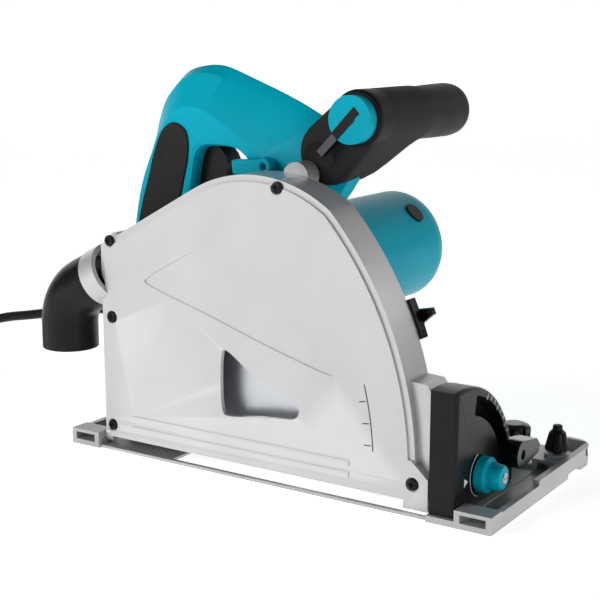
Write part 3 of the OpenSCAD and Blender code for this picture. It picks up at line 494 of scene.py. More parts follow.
class SawLook(bpy.types.PropertyGroup):
    """Colours of the saw"""
    shell_colour: FloatVectorProperty(
        name="Shell", description="Handle, motor housing and knobs", subtype='COLOR',
        default=linear("00ACC4"))
    case_colour: FloatVectorProperty(
        name="Blade case", description="Lacquered blade case", subtype='COLOR', default=linear("D0CECF"))
    sole_colour: FloatVectorProperty(
        name="Sole", description="Cast sole plate", subtype='COLOR', default=linear("B5B5B5"))
    nylon_colour: FloatVectorProperty(
        name="Black parts", description="Guides, nozzle and trigger", subtype='COLOR',
        default=linear("101010"))
    rubber_colour: FloatVectorProperty(
        name="Grips", description="Soft grip panels", subtype='COLOR', default=linear("262625"))


class SawSizes(bpy.types.PropertyGroup):
    """Sizes of the visible detail"""
    facet: FloatProperty(
        name="Opening lip", description="Rounding of the handle's opening", unit='LENGTH', default=4.0 * MM)
    edge: FloatProperty(
        name="Cast edge", description="Rounding of the case's edges", unit='LENGTH', default=0.9 * MM)
    cord: FloatProperty(
        name="Cord", description="Diameter of the cord", unit='LENGTH', default=7 * MM)


# ------------------------------------------------------------------ pieces

def axis_of(node):
    """Where the axis of a round CAD node is, seen from the side, as x and z in millimetres."""
    low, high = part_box(node)
    return tuple(round(value, 3) for value in ((low[0] + high[0]) / 2 / MM, (low[2] + high[2]) / 2 / MM))


BLADE_Y = -58.0
SPINDLE = axis_of("spindle_bearings")
MOTOR = axis_of("armature_bearings")
GRIP = axis_of("front_grip_cap")
BUTTON = axis_of("lock_off_button")
# Seen from the side, as x and z
PLUNGE_PIVOT = (-115, 23)
# Seen from the front, as y and z
BEVEL_HINGE = (-66, 8)
SELECTOR = (-44, 22)
# Outer faces that marks and pads lie on
CASE_FACE = -72.0
GUIDE_FACE = 130.0
# Middle of the coil on the floor, the plug beside it and the place where the cord leaves its guard
COIL = (-402.0, -44.5)
PLUG = (COIL[0] + 18.5, COIL[1] - 28, 39)
CORD_ROUTE = [
    (-196, -12, 76), (-214, -11.5, 72), (-236, -10, 67), (-260, -8, 62), (-285, -6, 57), (-308, -5, 50),
    (-328, -4, 40), (-344, -3, 28), (-357, -2, 16), (-370, -0.5, 7), (-384, 0.5, 3.5), (-394, 1, 3.5)]


def smooth_path(points, n):
    """An open smooth curve through the points, in millimetres."""
    p = [Vector(q) for q in points]
    made = []
    for i in range(len(p) - 1):
        a, b, c, d = p[max(i - 1, 0)], p[i], p[i + 1], p[min(i + 2, len(p) - 1)]
        for j in range(n):
            t = j / n
            made.append(0.5 * (
                2 * b + (c - a) * t + (2 * a - 5 * b + 4 * c - d) * t * t
                + (3 * b - a - 3 * c + d) * t ** 3))
    return made + [p[-1]]


def tube(name, path, radius, sides=12, closed=True):
    """A round tube along a path, both in millimetres; the rings turn with the path."""
    up = Vector((0, 0, 1))
    corners, faces = [], []
    for i, point in enumerate(path):
        way = (path[min(i + 1, len(path) - 1)] - path[max(i - 1, 0)]).normalized()
        side = way.cross(up).normalized()
        up = side.cross(way).normalized()
        for j in range(sides):
            a = 2 * math.pi * j / sides
            corners.append((point + radius * (math.cos(a) * side + math.sin(a) * up)) * MM)
    for i in range(len(path) - 1):
        for j in range(sides):
            k = (j + 1) % sides
            faces.append((i * sides + j, i * sides + k, (i + 1) * sides + k, (i + 1) * sides + j))
    if closed:
        faces += [tuple(range(sides))[::-1], tuple((len(path) - 1) * sides + j for j in range(sides))]
    mesh = bpy.data.meshes.new(name)
    mesh.from_pydata(corners, [], faces)
    obj = bpy.data.objects.new(name, mesh)
    bpy.context.scene.collection.objects.link(obj)
    return outward(obj)


def coil_route():
    """Three layers of three turns, then up and round into the back of the plug."""
    start = 80.0
    made = []
    layers = [(45.5, 38.5, 31.5), (31.5, 38.5, 45.5), (31.5, 38.5, 45.5)]
    turns = [(r, 3.5 + 7 * k) for k, layer in enumerate(layers) for r in layer]
    steps = 20
    for i, (radius, height) in enumerate(turns):
        to_radius, to_height = turns[min(i + 1, len(turns) - 1)]
        for j in range(1, steps + 1):
            if i == len(turns) - 1 and j * 360 / steps > 100:
                break
            share = max(0.0, (j / steps - 0.78) / 0.22)
            share = share * share * (3 - 2 * share)
            a = math.radians(start + 360 * j / steps)
            r = radius + (to_radius - radius) * share
            lift = 0.0
            if i == len(turns) - 1:
                lift = 9.0 * max(0.0, j * 360 / steps - 36) / 64
            made.append((COIL[0] + r * math.cos(a), COIL[1] + r * math.sin(a),
                         height + (to_height - height) * share + lift))
    for k in range(1, 9):
        a = math.radians(180 + 90 * k / 8)
        rise = 12.5 * math.sin(math.pi * k / 16)
        made.append((COIL[0] - 17.5 + 28 * math.cos(a), COIL[1] + 28 * math.sin(a), 26.5 + rise))
    return made + [(COIL[0] - 14, PLUG[1], PLUG[2])]


class SAW_OT_stage(bpy.types.Operator):
    """Sets the camera, the pale floor and the soft studio lights"""
    bl_idname = "saw.stage"
    bl_label = "Studio stage"

    def execute(self, context):
        clear_selection()
        bpy.ops.object.camera_add(location=(0.4365, -0.7036, 0.2734))
        camera = context.object
        camera.rotation_euler = Vector((-0.5347, 0.8202, -0.2033)).to_track_quat('-Z', 'Y').to_euler()
        camera.data.lens = 78.9
        camera.data.sensor_width = 36.0
        camera.data.clip_start = 0.01
        context.scene.camera = camera
        bend = arc((6000, 1499.6), 1500, -90, 0, 15)
        sweep = [(-9000, -0.4), *bend, (7500, 5000), (7550, 5000), (7550, -50), (-9000, -50)]
        floor = prism("studio_floor", sweep, 'Y', -9000, 9000)
        floor.rotation_euler.z = math.atan2(0.8202, -0.5347)
        settle(floor)
        clear_selection()
        pick(floor)
        bpy.ops.object.shade_smooth_by_angle(angle=math.radians(20))
        # Seamless white paper: matt, with the faintest mottle.
        paper = grained("White studio paper", linear("F6F6F6"), 0.0, 0.7, 3.0, 0.02, 0.006, 0.03,
                        **{"Emission Color": (1.0, 1.0, 1.0, 1.0), "Emission Strength": 0.7})
        floor.data.materials.append(paper)
        lights = [
            ((-0.95, -1.5, 0.85), (-0.05, 0.0, 0.12), 0.8, 14),
            ((1.6, -0.7, 0.5), (0.0, 0.0, 0.1), 0.5, 3),
            ((1.1, 1.1, 0.7), (0.0, 0.0, 0.15), 0.5, 3)]
        for place, aim, size, power in lights:
            bpy.ops.object.light_add(type='AREA', location=place)
            lamp = context.object
            lamp.data.shape = 'SQUARE'
            lamp.data.size = size
            lamp.data.energy = power
            lamp.rotation_euler = (Vector(aim) - Vector(place)).to_track_quat('-Z', 'Y').to_euler()
        world = bpy.data.worlds.new("White studio")
        world.use_nodes = True
        world.node_tree.nodes["Background"].inputs[0].default_value = (1.0, 1.0, 1.0, 1.0)
        world.node_tree.nodes["Background"].inputs[1].default_value = 0.08
        context.scene.world = world
        context.scene.view_settings.view_transform = 'Standard'
        return {'FINISHED'}


class SAW_OT_cord(bpy.types.Operator):
    """Builds the mains cord with its ribbed guard, its coil, the tie and the plug"""
    bl_idname = "saw.cord"
    bl_label = "Cord and plug"

    def execute(self, context):
        sizes = context.scene.saw_sizes
        path = smooth_path(CORD_ROUTE[:-1] + [(-394, 1, 3.5)] + coil_route(), 3)
        cord = tube("mains_cord", path, sizes.cord / MM / 2, 12)
        way = Vector((-50, 0, -9.72)).normalized()
        ribs = [(-6, 8.0), (3, 8.0)]
        for i in range(11):
            wide = 7.9 - 0.29 * i
            foot = 4 + 4 * i
            ribs += [(foot, wide), (foot + 1.6, wide), (foot + 1.7, wide - 1.1), (foot + 3.7, wide - 1.2)]
        ribs += [(48, 4.7), (50, 4.4), (50.4, 3.7)]
        guard = turned("cord_guard_ribbed", ribs, (-146, -12, 85.72), way, 40)
        soften(guard, 0.25, 2, 40)
        x0, y0, z0 = PLUG
        body = turned("mains_plug", [
            (0, 16.5), (0.8, 17.8), (9, 18.0), (12, 17.2), (15, 14.6), (22, 13.4), (27, 11.6), (30, 9.4),
            (31, 8.0), (32, 8.9), (33, 7.8), (34, 8.6), (35, 7.4), (36, 7.0)], PLUG, (-1, 0, 0), 48)
        flats = [block("flat", (x0 - 13, y - 2, 20), (x0 + 1, y + 2, 60)) for y in (y0 - 16.2, y0 + 16.2)]
        carve(body, *flats)
        shape = [(-19, 1.9), (-18, 2.4), (-9, 2.4), (0.5, 2.4)]
        pins = [turned("pin", shape, (x0, y, z0), (-1, 0, 0), 24) for y in (y0 - 9.5, y0 + 9.5)]
        pins = weld("plug_pins", pins)
        loop = prism("coil_tie", [(26.9, 0.0), (50.4, 0.0), (50.4, 22.4), (26.9, 22.4)], 'Y', -6, 6)
        loop = carve(loop, prism("hollow", [(28, 0.5), (49.2, 0.5), (49.2, 21.4), (28, 21.4)], 'Y', -7, 7))
        soften(loop, 0.4, 2, 40)
        centre = Matrix.Translation((COIL[0] * MM, COIL[1] * MM, 0))
        loop.matrix_world = centre @ Matrix.Rotation(math.radians(35), 4, 'Z')
        settle(loop)
        finish(guard, FINISHES["nylon"], "saw_body", ["cord_guard"])
        finish(body, FINISHES["sheath"], "blade_case", ["plug"])
        finish(pins, FINISHES["race"], "blade_case", ())
        finish(loop, FINISHES["tie"], "blade_case", ())
        pick(cord)
        bpy.ops.object.shade_smooth()
        cord.data.materials.append(FINISHES["sheath"])
        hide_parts("cord", "cord_coil")
        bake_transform(cord)
        return {'FINISHED'}


def cross_screw(name, radius, shank, length, direction):
    """A pan-head screw with a cross recess, standing on the origin and facing direction."""
    head = turned(name, [
        (-length, shank), (0, shank), (0, radius), (1.0, radius), (1.8, radius * 0.86), (2.1, radius * 0.55)],
        (0, 0, 0), (0, 0, 1), 32)
    half = radius * 0.575
    for a, b in ((half, 0.5), (0.5, half)):
        carve(head, block("cut", (-a, -b, 0.9), (a, b, 4)))
    head.matrix_world = Vector(direction).to_track_quat('Z', 'Y').to_matrix().to_4x4()
    return settle(head)


def band(name, centre, radii, angles, axis, low, high, n=1):
    """A thin printed arc between two radii and two angles in degrees."""
    outer, inner = (arc(centre, radius, *angles, n) for radius in radii)
    return prism(name, outer + inner[::-1], axis, low, high)


def at(points):
    """Moves to points in millimetres."""
    return [Matrix.Translation(Vector(p) * MM) for p in points]


class SAW_OT_blade_case(bpy.types.Operator):
    """Builds the lacquered blade case with its sunk panel, window edge, cutting-depth scale and screws"""
    bl_idname = "saw.blade_case"
    bl_label = "Blade case"

    def execute(self, context):
        edge = context.scene.saw_sizes.edge / MM
        cover = cad_copy("case_cover", "case_cover_cast")
        leaf = smooth_loop([
            (-89, 113), (-89, 119), (-70, 130), (-52, 138.5), (-38, 137), (-10, 121), (20, 99),
            (44, 79), (47, 74.5), (40, 75), (0, 86), (-45, 100)], 4)
        carve(cover, prism("leaf", leaf, 'Y', -75, -71.3))
        soften(cover, edge, 3, 38)
        finish(cover, FINISHES["silver"], "blade_case", ["case_cover"], 38)
        inner = cad_copy("case_inner", "case_shell_cast")
        soften(inner, edge * 0.8, 2, 38)
        finish(inner, FINISHES["silver"], "blade_case", ["case_inner"], 38)
        ink = ('Y', CASE_FACE - 0.12, CASE_FACE + 0.1)
        scale = [band("depth_scale", PLUNGE_PIVOT, (190.6, 189.9), (3, 15), *ink, n=16)]
        for a in (4, 8, 12):
            scale.append(band("tick", PLUNGE_PIVOT, (189, 184.5), (a - 0.1, a + 0.1), *ink))
        scale = weld("depth_scale", scale)
        finish(scale, FINISHES["mark"], "blade_case", ())
        spots = [(-122, 139), (-121, 89), (-123, 16), (8.31, 181.64), (101, 18)]
        screws = weld("case_screws", repeat(
            cross_screw("case_screw", 3.7, 1.95, 19, (0, -1, 0)), at([(x, -70.6, z) for x, z in spots])))
        finish(screws, FINISHES["oxide"], "blade_case", ["cover_screws"])
        return {'FINISHED'}


class SAW_OT_sole(bpy.types.Operator):
    """Builds the cast sole plate with its bar slots, edge rails and corner screws"""
    bl_idname = "saw.sole"
    bl_label = "Sole plate"

    def execute(self, context):
        sole = cad_copy("base_plate", "sole_plate_cast")
        soften(sole, 0.55, 2, 38)
        finish(sole, FINISHES["casting"], "base", ["base_plate"], 38)
        coat(FINISHES["steel_x"], "bevel_pins", "clamp_bolts")
        return {'FINISHED'}


class SAW_OT_guides(bpy.types.Operator):
    """Builds the two black bevel guides with their slots, degree marks and screws"""
    bl_idname = "saw.guides"
    bl_label = "Bevel guides"

    def execute(self, context):
        front = cad_copy("front_angle_guide", "front_bevel_guide")
        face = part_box("front_angle_guide")[1][0] / MM

        def on_rim(p):
            """The guide's outer edge, clear of its arc slot."""
            y, z = BEVEL_HINGE
            return math.hypot(p.y - y, p.z - z) > 68 or p.y < y - 8 or (p.z > 60 and p.y < y)
        chamfer_side(front, 'X', face, 4.5, 4, on_rim)
        soften(front, 0.7, 2, 38)
        finish(front, FINISHES["nylon"], "base", ["front_angle_guide"], 38)
        rear = cad_copy("rear_angle_guide", "rear_bevel_guide")
        soften(rear, 0.8, 2, 38)
        finish(rear, FINISHES["nylon"], "base", ["rear_angle_guide"], 38)
        marks = []
        for k in range(10):
            a = 18 + 5 * k
            inner_r = 64.4 if k % 3 else 63.2
            marks.append(band("mark", BEVEL_HINGE, (67, inner_r), (a - 0.22, a + 0.22),
                              'X', GUIDE_FACE - 0.1, GUIDE_FACE + 0.12))
        marks.append(prism("mark", [(-64.5, 24.6), (-60, 22), (-64.5, 19.4)],
                           'X', GUIDE_FACE - 0.1, GUIDE_FACE + 0.15))
        marks = weld("bevel_marks", marks)
        finish(marks, FINISHES["ink"], "base", ())
        coat(FINISHES["oxide"], "guide_screws")
        return {'FINISHED'}


def grooved(piece, centre, axis, radius, cut, low, high, count, start=0.0):
    """Cuts evenly spaced round grooves into a knob's side."""
    cutters = []
    for i in range(count):
        a = math.radians(start + 360 * i / count)
        b = (centre[0] + radius * math.cos(a), centre[1] + radius * math.sin(a))
        ends = [seen(axis, b[0], b[1], t) / MM for t in (low, high)]
        cutters.append(rod("groove", ends[0], ends[1], cut, sides=16))
    cutter = weld("grooves", cutters)
    return carve(piece, cutter)


class SAW_OT_knobs(bpy.types.Operator):
    """Builds the stop selector, the thumb screws, the rail adjusters and the clamp levers"""
    bl_idname = "saw.knobs"
    bl_label = "Knobs and levers"

    def execute(self, context):
        knob = turned("stop_selector_knob", [
            (0, 10.4), (0.6, 10.9), (5.5, 10.7), (6.6, 9.8), (7.2, 8.4), (13.6, 7.4), (14.6, 6.6),
            (15.2, 4.8)], (GUIDE_FACE + 0.3, *SELECTOR), (1, 0, 0), 72)
        grooved(knob, SELECTOR, 'X', 9.7, 2.2, 138.4, 147, 6)
        soften(knob, 0.5, 2, 40)
        finish(knob, FINISHES["abs"], "selector", ["stop_selector"])
        ring = band("selector_ring", SELECTOR, (13.2, 12.7), (105, 255),
                    'X', GUIDE_FACE - 0.1, GUIDE_FACE + 0.1, 24)
        finish(ring, FINISHES["ink"], "base", ())
        bolt = turned("selector_screw", [(0, 3.4), (0.5, 3.4), (0.8, 3.0)], (145.3, *SELECTOR), (1, 0, 0), 32)
        carve(bolt, block("cut", (145.7, -47, 21.6), (147, -41, 22.4)))
        finish(bolt, FINISHES["steel_x"], "selector", ())
        stem_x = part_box("stop_selector")[0][0] / MM
        stem = turned("selector_stem", [(0, 3.9), (25, 3.9), (26, 3.4)], (stem_x, *SELECTOR), (1, 0, 0), 32)
        finish(stem, FINISHES["steel_x"], "selector", ())
        for side, name, body in ((1, "front_rip_screw", "front_rip"), (-1, "rear_rip_screw", "rear_rip")):
            x, y = side * 142.0, 42.0
            grip = turned(name + "_grip", [
                (-14.5, 2.6), (-0.5, 2.6), (-0.5, 7.0), (0, 7.5), (2, 7.5), (11, 5.2), (12, 4.2), (13, 3.2),
                (15.5, 3.0), (16.0, 2.0)], (x, y, 15.2), (0, 0, 1), 60)
            grooved(grip, (x, y), 'Z', 7.6, 0.75, 15.6, 27.4, 14)
            soften(grip, 0.3, 2, 40)
            finish(grip, FINISHES["nylon"], body, [name])
        for side, name, body in (
                (1, "front_rail_adjuster", "front_adjuster"), (-1, "rear_rail_adjuster", "rear_adjuster")):
            x, y = side * 112.0, 44.0
            low, high = (Vector(c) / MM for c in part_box(name))
            knob = turned(name + "_knob", [
                (low.z - high.z, 2.9), (-12.0, 2.9), (-12.0, 9.2), (-11.2, 10.3), (-3.0, 10.5), (-1.4, 9.6),
                (-0.4, 7.4), (0, 4.8)], (x, y, high.z), (0, 0, 1), 72)
            grooved(knob, (x, y), 'Z', 12.4, 3.3, high.z - 11, high.z + 2, 7, 12)
            soften(knob, 0.6, 3, 40)
            finish(knob, FINISHES["gloss"], body, [name])
        for name, body in (("front_clamp_lever", "front_clamp"), ("rear_clamp_lever", "rear_clamp")):
            lever = soften(outward(cad_copy(name, name + "_moulded"), 0.01), 1.6, 3, 35)
            finish(lever, FINISHES["gloss"], body, [name], 40)
        return {'FINISHED'}


class SAW_OT_depth_stop(bpy.types.Operator):
    """Builds the depth stop's slider and its winged knob"""
    bl_idname = "saw.depth_stop"
    bl_label = "Depth stop"

    def execute(self, context):
        for name, body, edge in (
                ("depth_stop_slider", "stop_slider", 0.6), ("depth_stop_knob", "stop_knob", 1.4)):
            part = soften(cad_copy(name, name + "_moulded"), edge, 3, 35)
            finish(part, FINISHES["gloss"], body, [name], 40)
        return {'FINISHED'}


class SAW_OT_nozzle(bpy.types.Operator):
    """Builds the hollow dust elbow with its lip"""
    bl_idname = "saw.nozzle"
    bl_label = "Dust nozzle"

    def execute(self, context):
        slope, bend_r = 207, 30
        a = math.radians(slope)
        start = Vector((-142, BLADE_Y, 110.6))
        way = Vector((math.cos(a), 0, math.sin(a)))
        centre = start + 14 * way + bend_r * Vector((-math.sin(a), 0, math.cos(a)))
        path = [start + 0.4 * way + way * d for d in (0, 5, 10)]
        for i in range(15):
            t = math.radians(slope - 90 + 63 * i / 14)
            path.append(centre + bend_r * Vector((math.cos(t), 0, math.sin(t))))
        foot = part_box("dust_nozzle")[0][2] / MM
        drop = path[-1].z - foot
        path += [path[-1] - Vector((0, 0, drop * k / 4)) for k in (1, 2, 3, 4)]
        elbow = tube("dust_elbow", path, 19, 64, closed=False)
        pick(elbow)
        wall = elbow.modifiers.new("Wall", 'SOLIDIFY')
        wall.thickness = 2.4 * MM
        wall.offset = -1
        bpy.ops.object.modifier_apply(modifier=wall.name)
        soften(elbow, 0.5, 2, 40)
        finish(elbow, FINISHES["nylon"], "nozzle", ["dust_nozzle"], 40)
        return {'FINISHED'}


class SAW_OT_motor(bpy.types.Operator):
    """Builds the gear housing, the motor shell and its end cover with vents"""
    bl_idname = "saw.motor"
    bl_label = "Motor housing"

    def execute(self, context):
        gear = soften(cad_copy("gear_housing", "gear_housing_cast"), 0.9, 2, 38)
        finish(gear, FINISHES["casting"], "saw_body", ["gear_housing"], 38)
        shell = soften(cad_copy("motor_housing", "motor_shell"), 0.7, 2, 38)
        finish(shell, FINISHES["abs"], "saw_body", ["motor_housing"], 38)
        cover = soften(cad_copy("motor_end_cover", "motor_end_shell"), 1.0, 2, 38)
        finish(cover, FINISHES["abs"], "saw_body", ["motor_end_cover"], 38)
        # The seam ring is drawn in the darkened teal: painted shade standing in for the groove of the motor
        # shell's seam.
        seam = turned("motor_seam", [(0, 37.6), (0.2, 38.25), (0.8, 38.25), (1.0, 37.6)],
                      (MOTOR[0], -6, MOTOR[1]), (0, 1, 0), 96)
        finish(seam, FINISHES["abs_painted_seam_shade"], "saw_body", ())
        way = Vector((math.cos(math.radians(8)), 0, math.sin(math.radians(8))))
        root = Vector((MOTOR[0], -15.5, MOTOR[1])) + 33 * way
        recess = [(0, 6.4), (5.6, 6.4), (5.9, 6.0), (5.9, 4.8), (4.4, 4.4)]
        plug = turned("lock_recess", recess, root, way, 40)
        finish(plug, FINISHES["nylon"], "saw_body", ())
        caps = soften(cad_copy("brush_caps", "brush_cap_screws"), 0.5, 2, 38)
        finish(caps, FINISHES["nylon"], "saw_body", ["brush_caps"], 38)
        dial = soften(cad_copy("speed_dial", "speed_dial_wheel"), 0.4, 2, 38)
        finish(dial, FINISHES["nylon"], "dial", ["speed_dial"], 38)
        return {'FINISHED'}


HANDLE = [
    (-72, 249.2), (-50, 242), (-14, 228), (14, 213), (33, 196), (27, 181), (15, 164), (7, 146),
    (-6, 116), (-40, 88), (-80, 79), (-120, 77), (-143, 88), (-146, 114), (-141, 142),
    (-135.5, 168), (-128, 196), (-119, 226), (-104, 243), (-90, 248.5)]
HANDLE_RIDGE = [
    (-73, 243), (-53, 235.5), (-19, 220), (9, 206), (28, 191), (23, 178), (12.5, 163), (5, 146),
    (-8, 117), (-41, 89.5), (-80, 80.5), (-119, 78.5), (-141.5, 89.5), (-144.5, 114.5), (-139.5, 142.5),
    (-134, 168.5), (-126, 195.5), (-116.5, 224), (-102.5, 239), (-89.5, 244)]
HANDLE_SIDE = [
    (-78, 222), (-62, 214), (-44, 202), (-24, 189), (-6, 178), (1, 170), (4, 158), (0, 142),
    (-12, 118), (-43, 94), (-80, 85), (-117, 83), (-137, 92), (-139.5, 115), (-134.5, 143),
    (-128.5, 170), (-119, 193), (-110, 210), (-99, 221), (-88, 223.5)]
OPENING = [
    (-82, 195), (-66, 199), (-51, 197), (-40, 186), (-41, 168), (-53, 146), (-70, 124),
    (-85, 114), (-95, 122), (-92, 145), (-88, 168)]
PANEL = [
    (-101, 213), (-92, 210), (-88.5, 203), (-89, 190), (-93, 174), (-97, 158), (-99, 140), (-103, 122),
    (-112, 107), (-125, 104), (-134, 112), (-133, 136), (-128, 158), (-122, 176), (-117, 192), (-110, 207)]
SPINE = [
    (-119, 219), (-117, 214), (-125, 193), (-131.5, 168), (-137, 142), (-142, 114),
    (-146.4, 114), (-141.4, 142), (-135.9, 168), (-128.4, 196), (-121.5, 219)]
TRIGGER_SLOT = [(-69, 208), (-69, 191), (-81, 143), (-107, 145), (-108, 179), (-99, 208)]
# Undersides of the four screw heads
SCREWS = [(-132, 3.6, 97), (-108, -5.5, 228), (-62, -2.5, 226), (-16, -4.0, 206)]


class SAW_OT_handle(bpy.types.Operator):
    """Builds the two halves of the faceted loop handle, its soft panels and its screws"""
    bl_idname = "saw.handle"
    bl_label = "Loop handle"

    def execute(self, context):
        lip = context.scene.saw_sizes.facet / MM
        hole = smooth_loop(OPENING, 4)
        loops = [smooth_loop(points, 4) for points in (HANDLE_SIDE, HANDLE_RIDGE, HANDLE)]
        for side, name, near, ridge, seam in (
                (-1, "handle_left", -30, -19, -12.12), (1, "handle_right", 6, -5, -11.88)):
            half = lofted(name + "_shell", list(zip((near, ridge, seam), loops)), 'Y')
            carve(half, prism("opening", hole, 'Y', -40, 20))

            def on_hole(p):
                """The edge of the finger opening."""
                return min(abs(p.x - a) + abs(p.z - b) for a, b in hole) < 0.05
            chamfer_side(half, 'Y', near, lip, 2, on_hole)
            cuts = [
                rod("bore", (MOTOR[0], -40, MOTOR[1]), (MOTOR[0], -26, MOTOR[1]), 27),
                rod("seat", (MOTOR[0], -26, MOTOR[1]), (MOTOR[0], 20, MOTOR[1]), 38.1, sides=72),
                rod("pot", (SPINDLE[0], -40, SPINDLE[1]), (SPINDLE[0], -20.5, SPINDLE[1]), 24.9),
                prism("slot", TRIGGER_SLOT, 'Y', -20, -4),
                rod("well", (BUTTON[0], -14, BUTTON[1]), (BUTTON[0], 13, BUTTON[1]), 7)]
            sunk = [rod("sunk", (x, y - 0.3, z), (x, 20, z), 3.7) for x, y, z in SCREWS if side > 0]
            carve(half, *cuts, *sunk)
            soften(half, 0.9, 2, 20)
            finish(half, FINISHES["abs"], "saw_body", [name], 22)
            end = name.removeprefix("handle_")
            top = near + 1.3 * side
            pad = prism("grip_pad_" + end, smooth_loop(PANEL, 4), 'Y', min(near, top), max(near, top))
            chamfer_side(pad, 'Y', top, 0.9, 3)
            clear_selection()
            bpy.ops.mesh.primitive_uv_sphere_add(
                segments=48, ring_count=24, location=(-0.107, (near + 2.6 * side) * MM, 0.196),
                scale=(0.0085, 0.0024, 0.0105))
            carve(pad, settle(context.object))
            finish(pad, FINISHES["rubber"], "saw_body", ["grip_rubber_" + end], 50)
        spine = soften(prism("grip_spine", SPINE, 'Y', -16, -8), 0.8, 2, 30)
        finish(spine, FINISHES["rubber"], "saw_body", (), 40)
        screws = weld("handle_screws", repeat(
            cross_screw("handle_screw", 3.1, 1.6, 11, (0, 1, 0)), at(SCREWS)))
        finish(screws, FINISHES["oxide"], "saw_body", ["housing_screws"])
        return {'FINISHED'}


class SAW_OT_front_grip(bpy.types.Operator):
    """Builds the front grip, its neck, its cap and the stowed hex wrench"""
    bl_idname = "saw.front_grip"
    bl_label = "Front grip"

    def execute(self, context):
        def neck_loop(mix, inset=0.0):
            """Outline of the neck: the hull of its own disc and the sleeve's."""
            top, top_r = Vector(GRIP), 17.5
            base = top + (Vector((16, 199)) - top) * mix
            base_r = top_r + (20.0 - top_r) * mix
            points = []
            for k in range(72):
                way = Vector((math.cos(math.radians(5 * k)), math.sin(math.radians(5 * k))))
                a, b = base + way * base_r, top + way * top_r
                best = a if a.dot(way) > b.dot(way) else b
                points.append(tuple(best - way * inset))
            return points
        sections = [
            (-30, 1, 3.4), (-29.2, 1, 1.4), (-27.2, 1, 0.2), (-24, 1, 0), (0, 0.97, 0), (7, 0.88, 0),
            (13, 0.7, 0), (19, 0.46, 0), (25, 0.22, 0), (31, 0.07, 0), (36, 0.0, 0.15), (36.5, 0.0, 1.0)]
        loops = [(place, neck_loop(mix, inset)) for place, mix, inset in sections]
        neck = lofted("front_grip_neck", loops, 'Y')
        clear_selection()
        bpy.ops.mesh.primitive_uv_sphere_add(
            segments=48, ring_count=24, location=(0.012, -0.0318, 0.197), scale=(0.013, 0.0042, 0.010))
        carve(neck, settle(context.object))
        finish(neck, FINISHES["rubber"], "saw_body", ["front_grip"], 50)
        sleeve = turned("front_grip_sleeve", [
            (-0.6, 15.4), (0.4, 16.9), (2.2, 17.6), (30, 17.4), (66, 17.2), (66.8, 16.6), (68, 16.6),
            (90, 17.2), (112, 17.5), (117, 17.0), (120.5, 15.2), (122.8, 12.4), (124, 9.0)],
            (GRIP[0], -30, GRIP[1]), (0, 1, 0), 80)
        finish(sleeve, FINISHES["rubber_black"], "saw_body", (), 50)
        cap = soften(cad_copy("front_grip_cap", "front_grip_cap_moulded"), 0.9, 2, 38)
        # The wrench seat: a thin black plate on the cap under the wrench, painted shade standing in for the
        # dark inside of the wrench slot.
        seat = [(40, 228), (44, 224), (28.5, 208), (24.5, 212)]
        slot = soften(prism("wrench_slot_painted_shade", seat, 'Y', -38.25, -37.2), 0.3, 2, 30)
        finish(slot, FINISHES["nylon"], "saw_body", (), 40)
        finish(cap, FINISHES["abs"], "saw_body", ["front_grip_cap"], 38)
        wrench = soften(cad_copy("hex_wrench", "hex_wrench_bar"), 0.4, 2, 38)
        finish(wrench, FINISHES["tool"], "wrench", ["hex_wrench"], 38)
        return {'FINISHED'}


class SAW_OT_controls(bpy.types.Operator):
    """Builds the trigger, the lock-off button, the plunge lock and the shaft lock"""
    bl_idname = "saw.controls"
    bl_label = "Trigger and locks"

    def execute(self, context):
        parts = (
            ("trigger", "trigger_part", "nylon", "dark_plastic", 1.8),
            ("lock_off_button", "lock_off", "nylon", "dark_plastic", 0.9),
            ("plunge_lock_lever", "lock_lever", "abs", "teal_plastic", 1.1),
            ("shaft_lock_button", "shaft_lock", "nylon", "dark_plastic", 0.6))
        for name, body, look, slot, edge in parts:
            part = soften(cad_copy(name, name + "_moulded"), edge, 3, 38)
            finish(part, FINISHES[look], body, [name], 40)
        coat(FINISHES["nylon"], "trigger_switch")
        return {'FINISHED'}


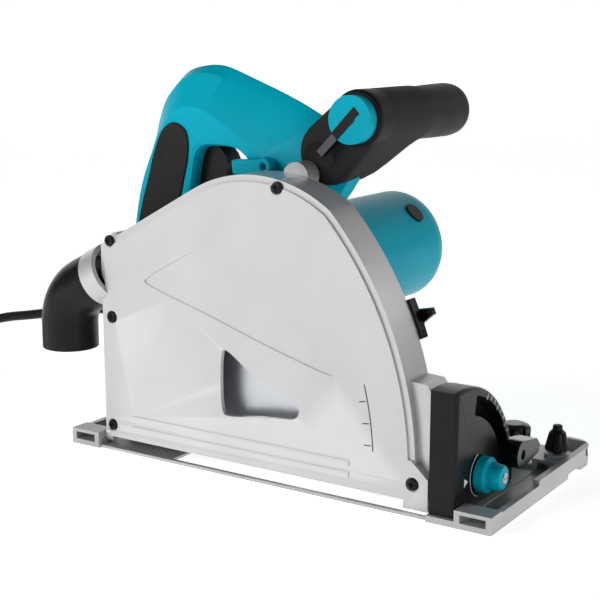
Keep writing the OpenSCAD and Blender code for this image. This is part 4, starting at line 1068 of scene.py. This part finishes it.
class SAW_OT_drive(bpy.types.Operator):
    """Finishes the blade, the spindle, the gears and the motor's insides"""
    bl_idname = "saw.drive"
    bl_label = "Blade and drive"

    def execute(self, context):
        coat(FINISHES["ground"], "saw_blade")
        coat(FINISHES["flange"], "inner_flange", "outer_flange")
        coat(FINISHES["oxide"], "arbor_bolt")
        coat(FINISHES["gear"], "spindle_gear", "spindle", "spindle_bearings")
        coat(FINISHES["steel"], "plunge_shaft", "return_spring", "armature_shaft")
        coat(FINISHES["race"], "armature_bearings")
        coat(FINISHES["sheet"], "stator")
        coat(FINISHES["winding"], "armature_core")
        coat(FINISHES["copper"], "commutator")
        coat(FINISHES["carbon"], "carbon_brushes")
        coat(FINISHES["fan"], "fan")
        return {'FINISHED'}


class SAW_PT_panel(bpy.types.Panel):
    """Lists the saw's pieces and what can be changed"""
    bl_idname = "SAW_PT_panel"
    bl_label = "Plunge saw"
    bl_space_type = 'VIEW_3D'
    bl_region_type = 'UI'
    bl_category = "Plunge saw"

    def draw(self, context):
        for group in (context.scene.saw_look, context.scene.saw_sizes):
            for prop in group.bl_rna.properties:
                if prop.identifier not in {"rna_type", "name"}:
                    self.layout.prop(group, prop.identifier)
        for step in STEPS:
            self.layout.operator(step.bl_idname)


STEPS = (
    SAW_OT_stage, SAW_OT_cord, SAW_OT_blade_case, SAW_OT_sole, SAW_OT_guides, SAW_OT_knobs, SAW_OT_depth_stop,
    SAW_OT_nozzle, SAW_OT_motor, SAW_OT_handle, SAW_OT_front_grip, SAW_OT_controls, SAW_OT_drive)
CLASSES = (SawLook, SawSizes, *STEPS, SAW_PT_panel)


def register():
    """Adds the saw's properties, operators and panel."""
    for cls in CLASSES:
        bpy.utils.register_class(cls)
    bpy.types.Scene.saw_look = PointerProperty(type=SawLook)
    bpy.types.Scene.saw_sizes = PointerProperty(type=SawSizes)


def unregister():
    """Takes them away again."""
    del bpy.types.Scene.saw_sizes
    del bpy.types.Scene.saw_look
    for cls in reversed(CLASSES):
        bpy.utils.unregister_class(cls)


def main():
    """Builds the whole saw."""
    register()
    mix_finishes(bpy.context.scene.saw_look)
    for step in STEPS:
        group, name = step.bl_idname.split(".")
        getattr(getattr(bpy.ops, group), name)()


if __name__ == "__main__":
    main()
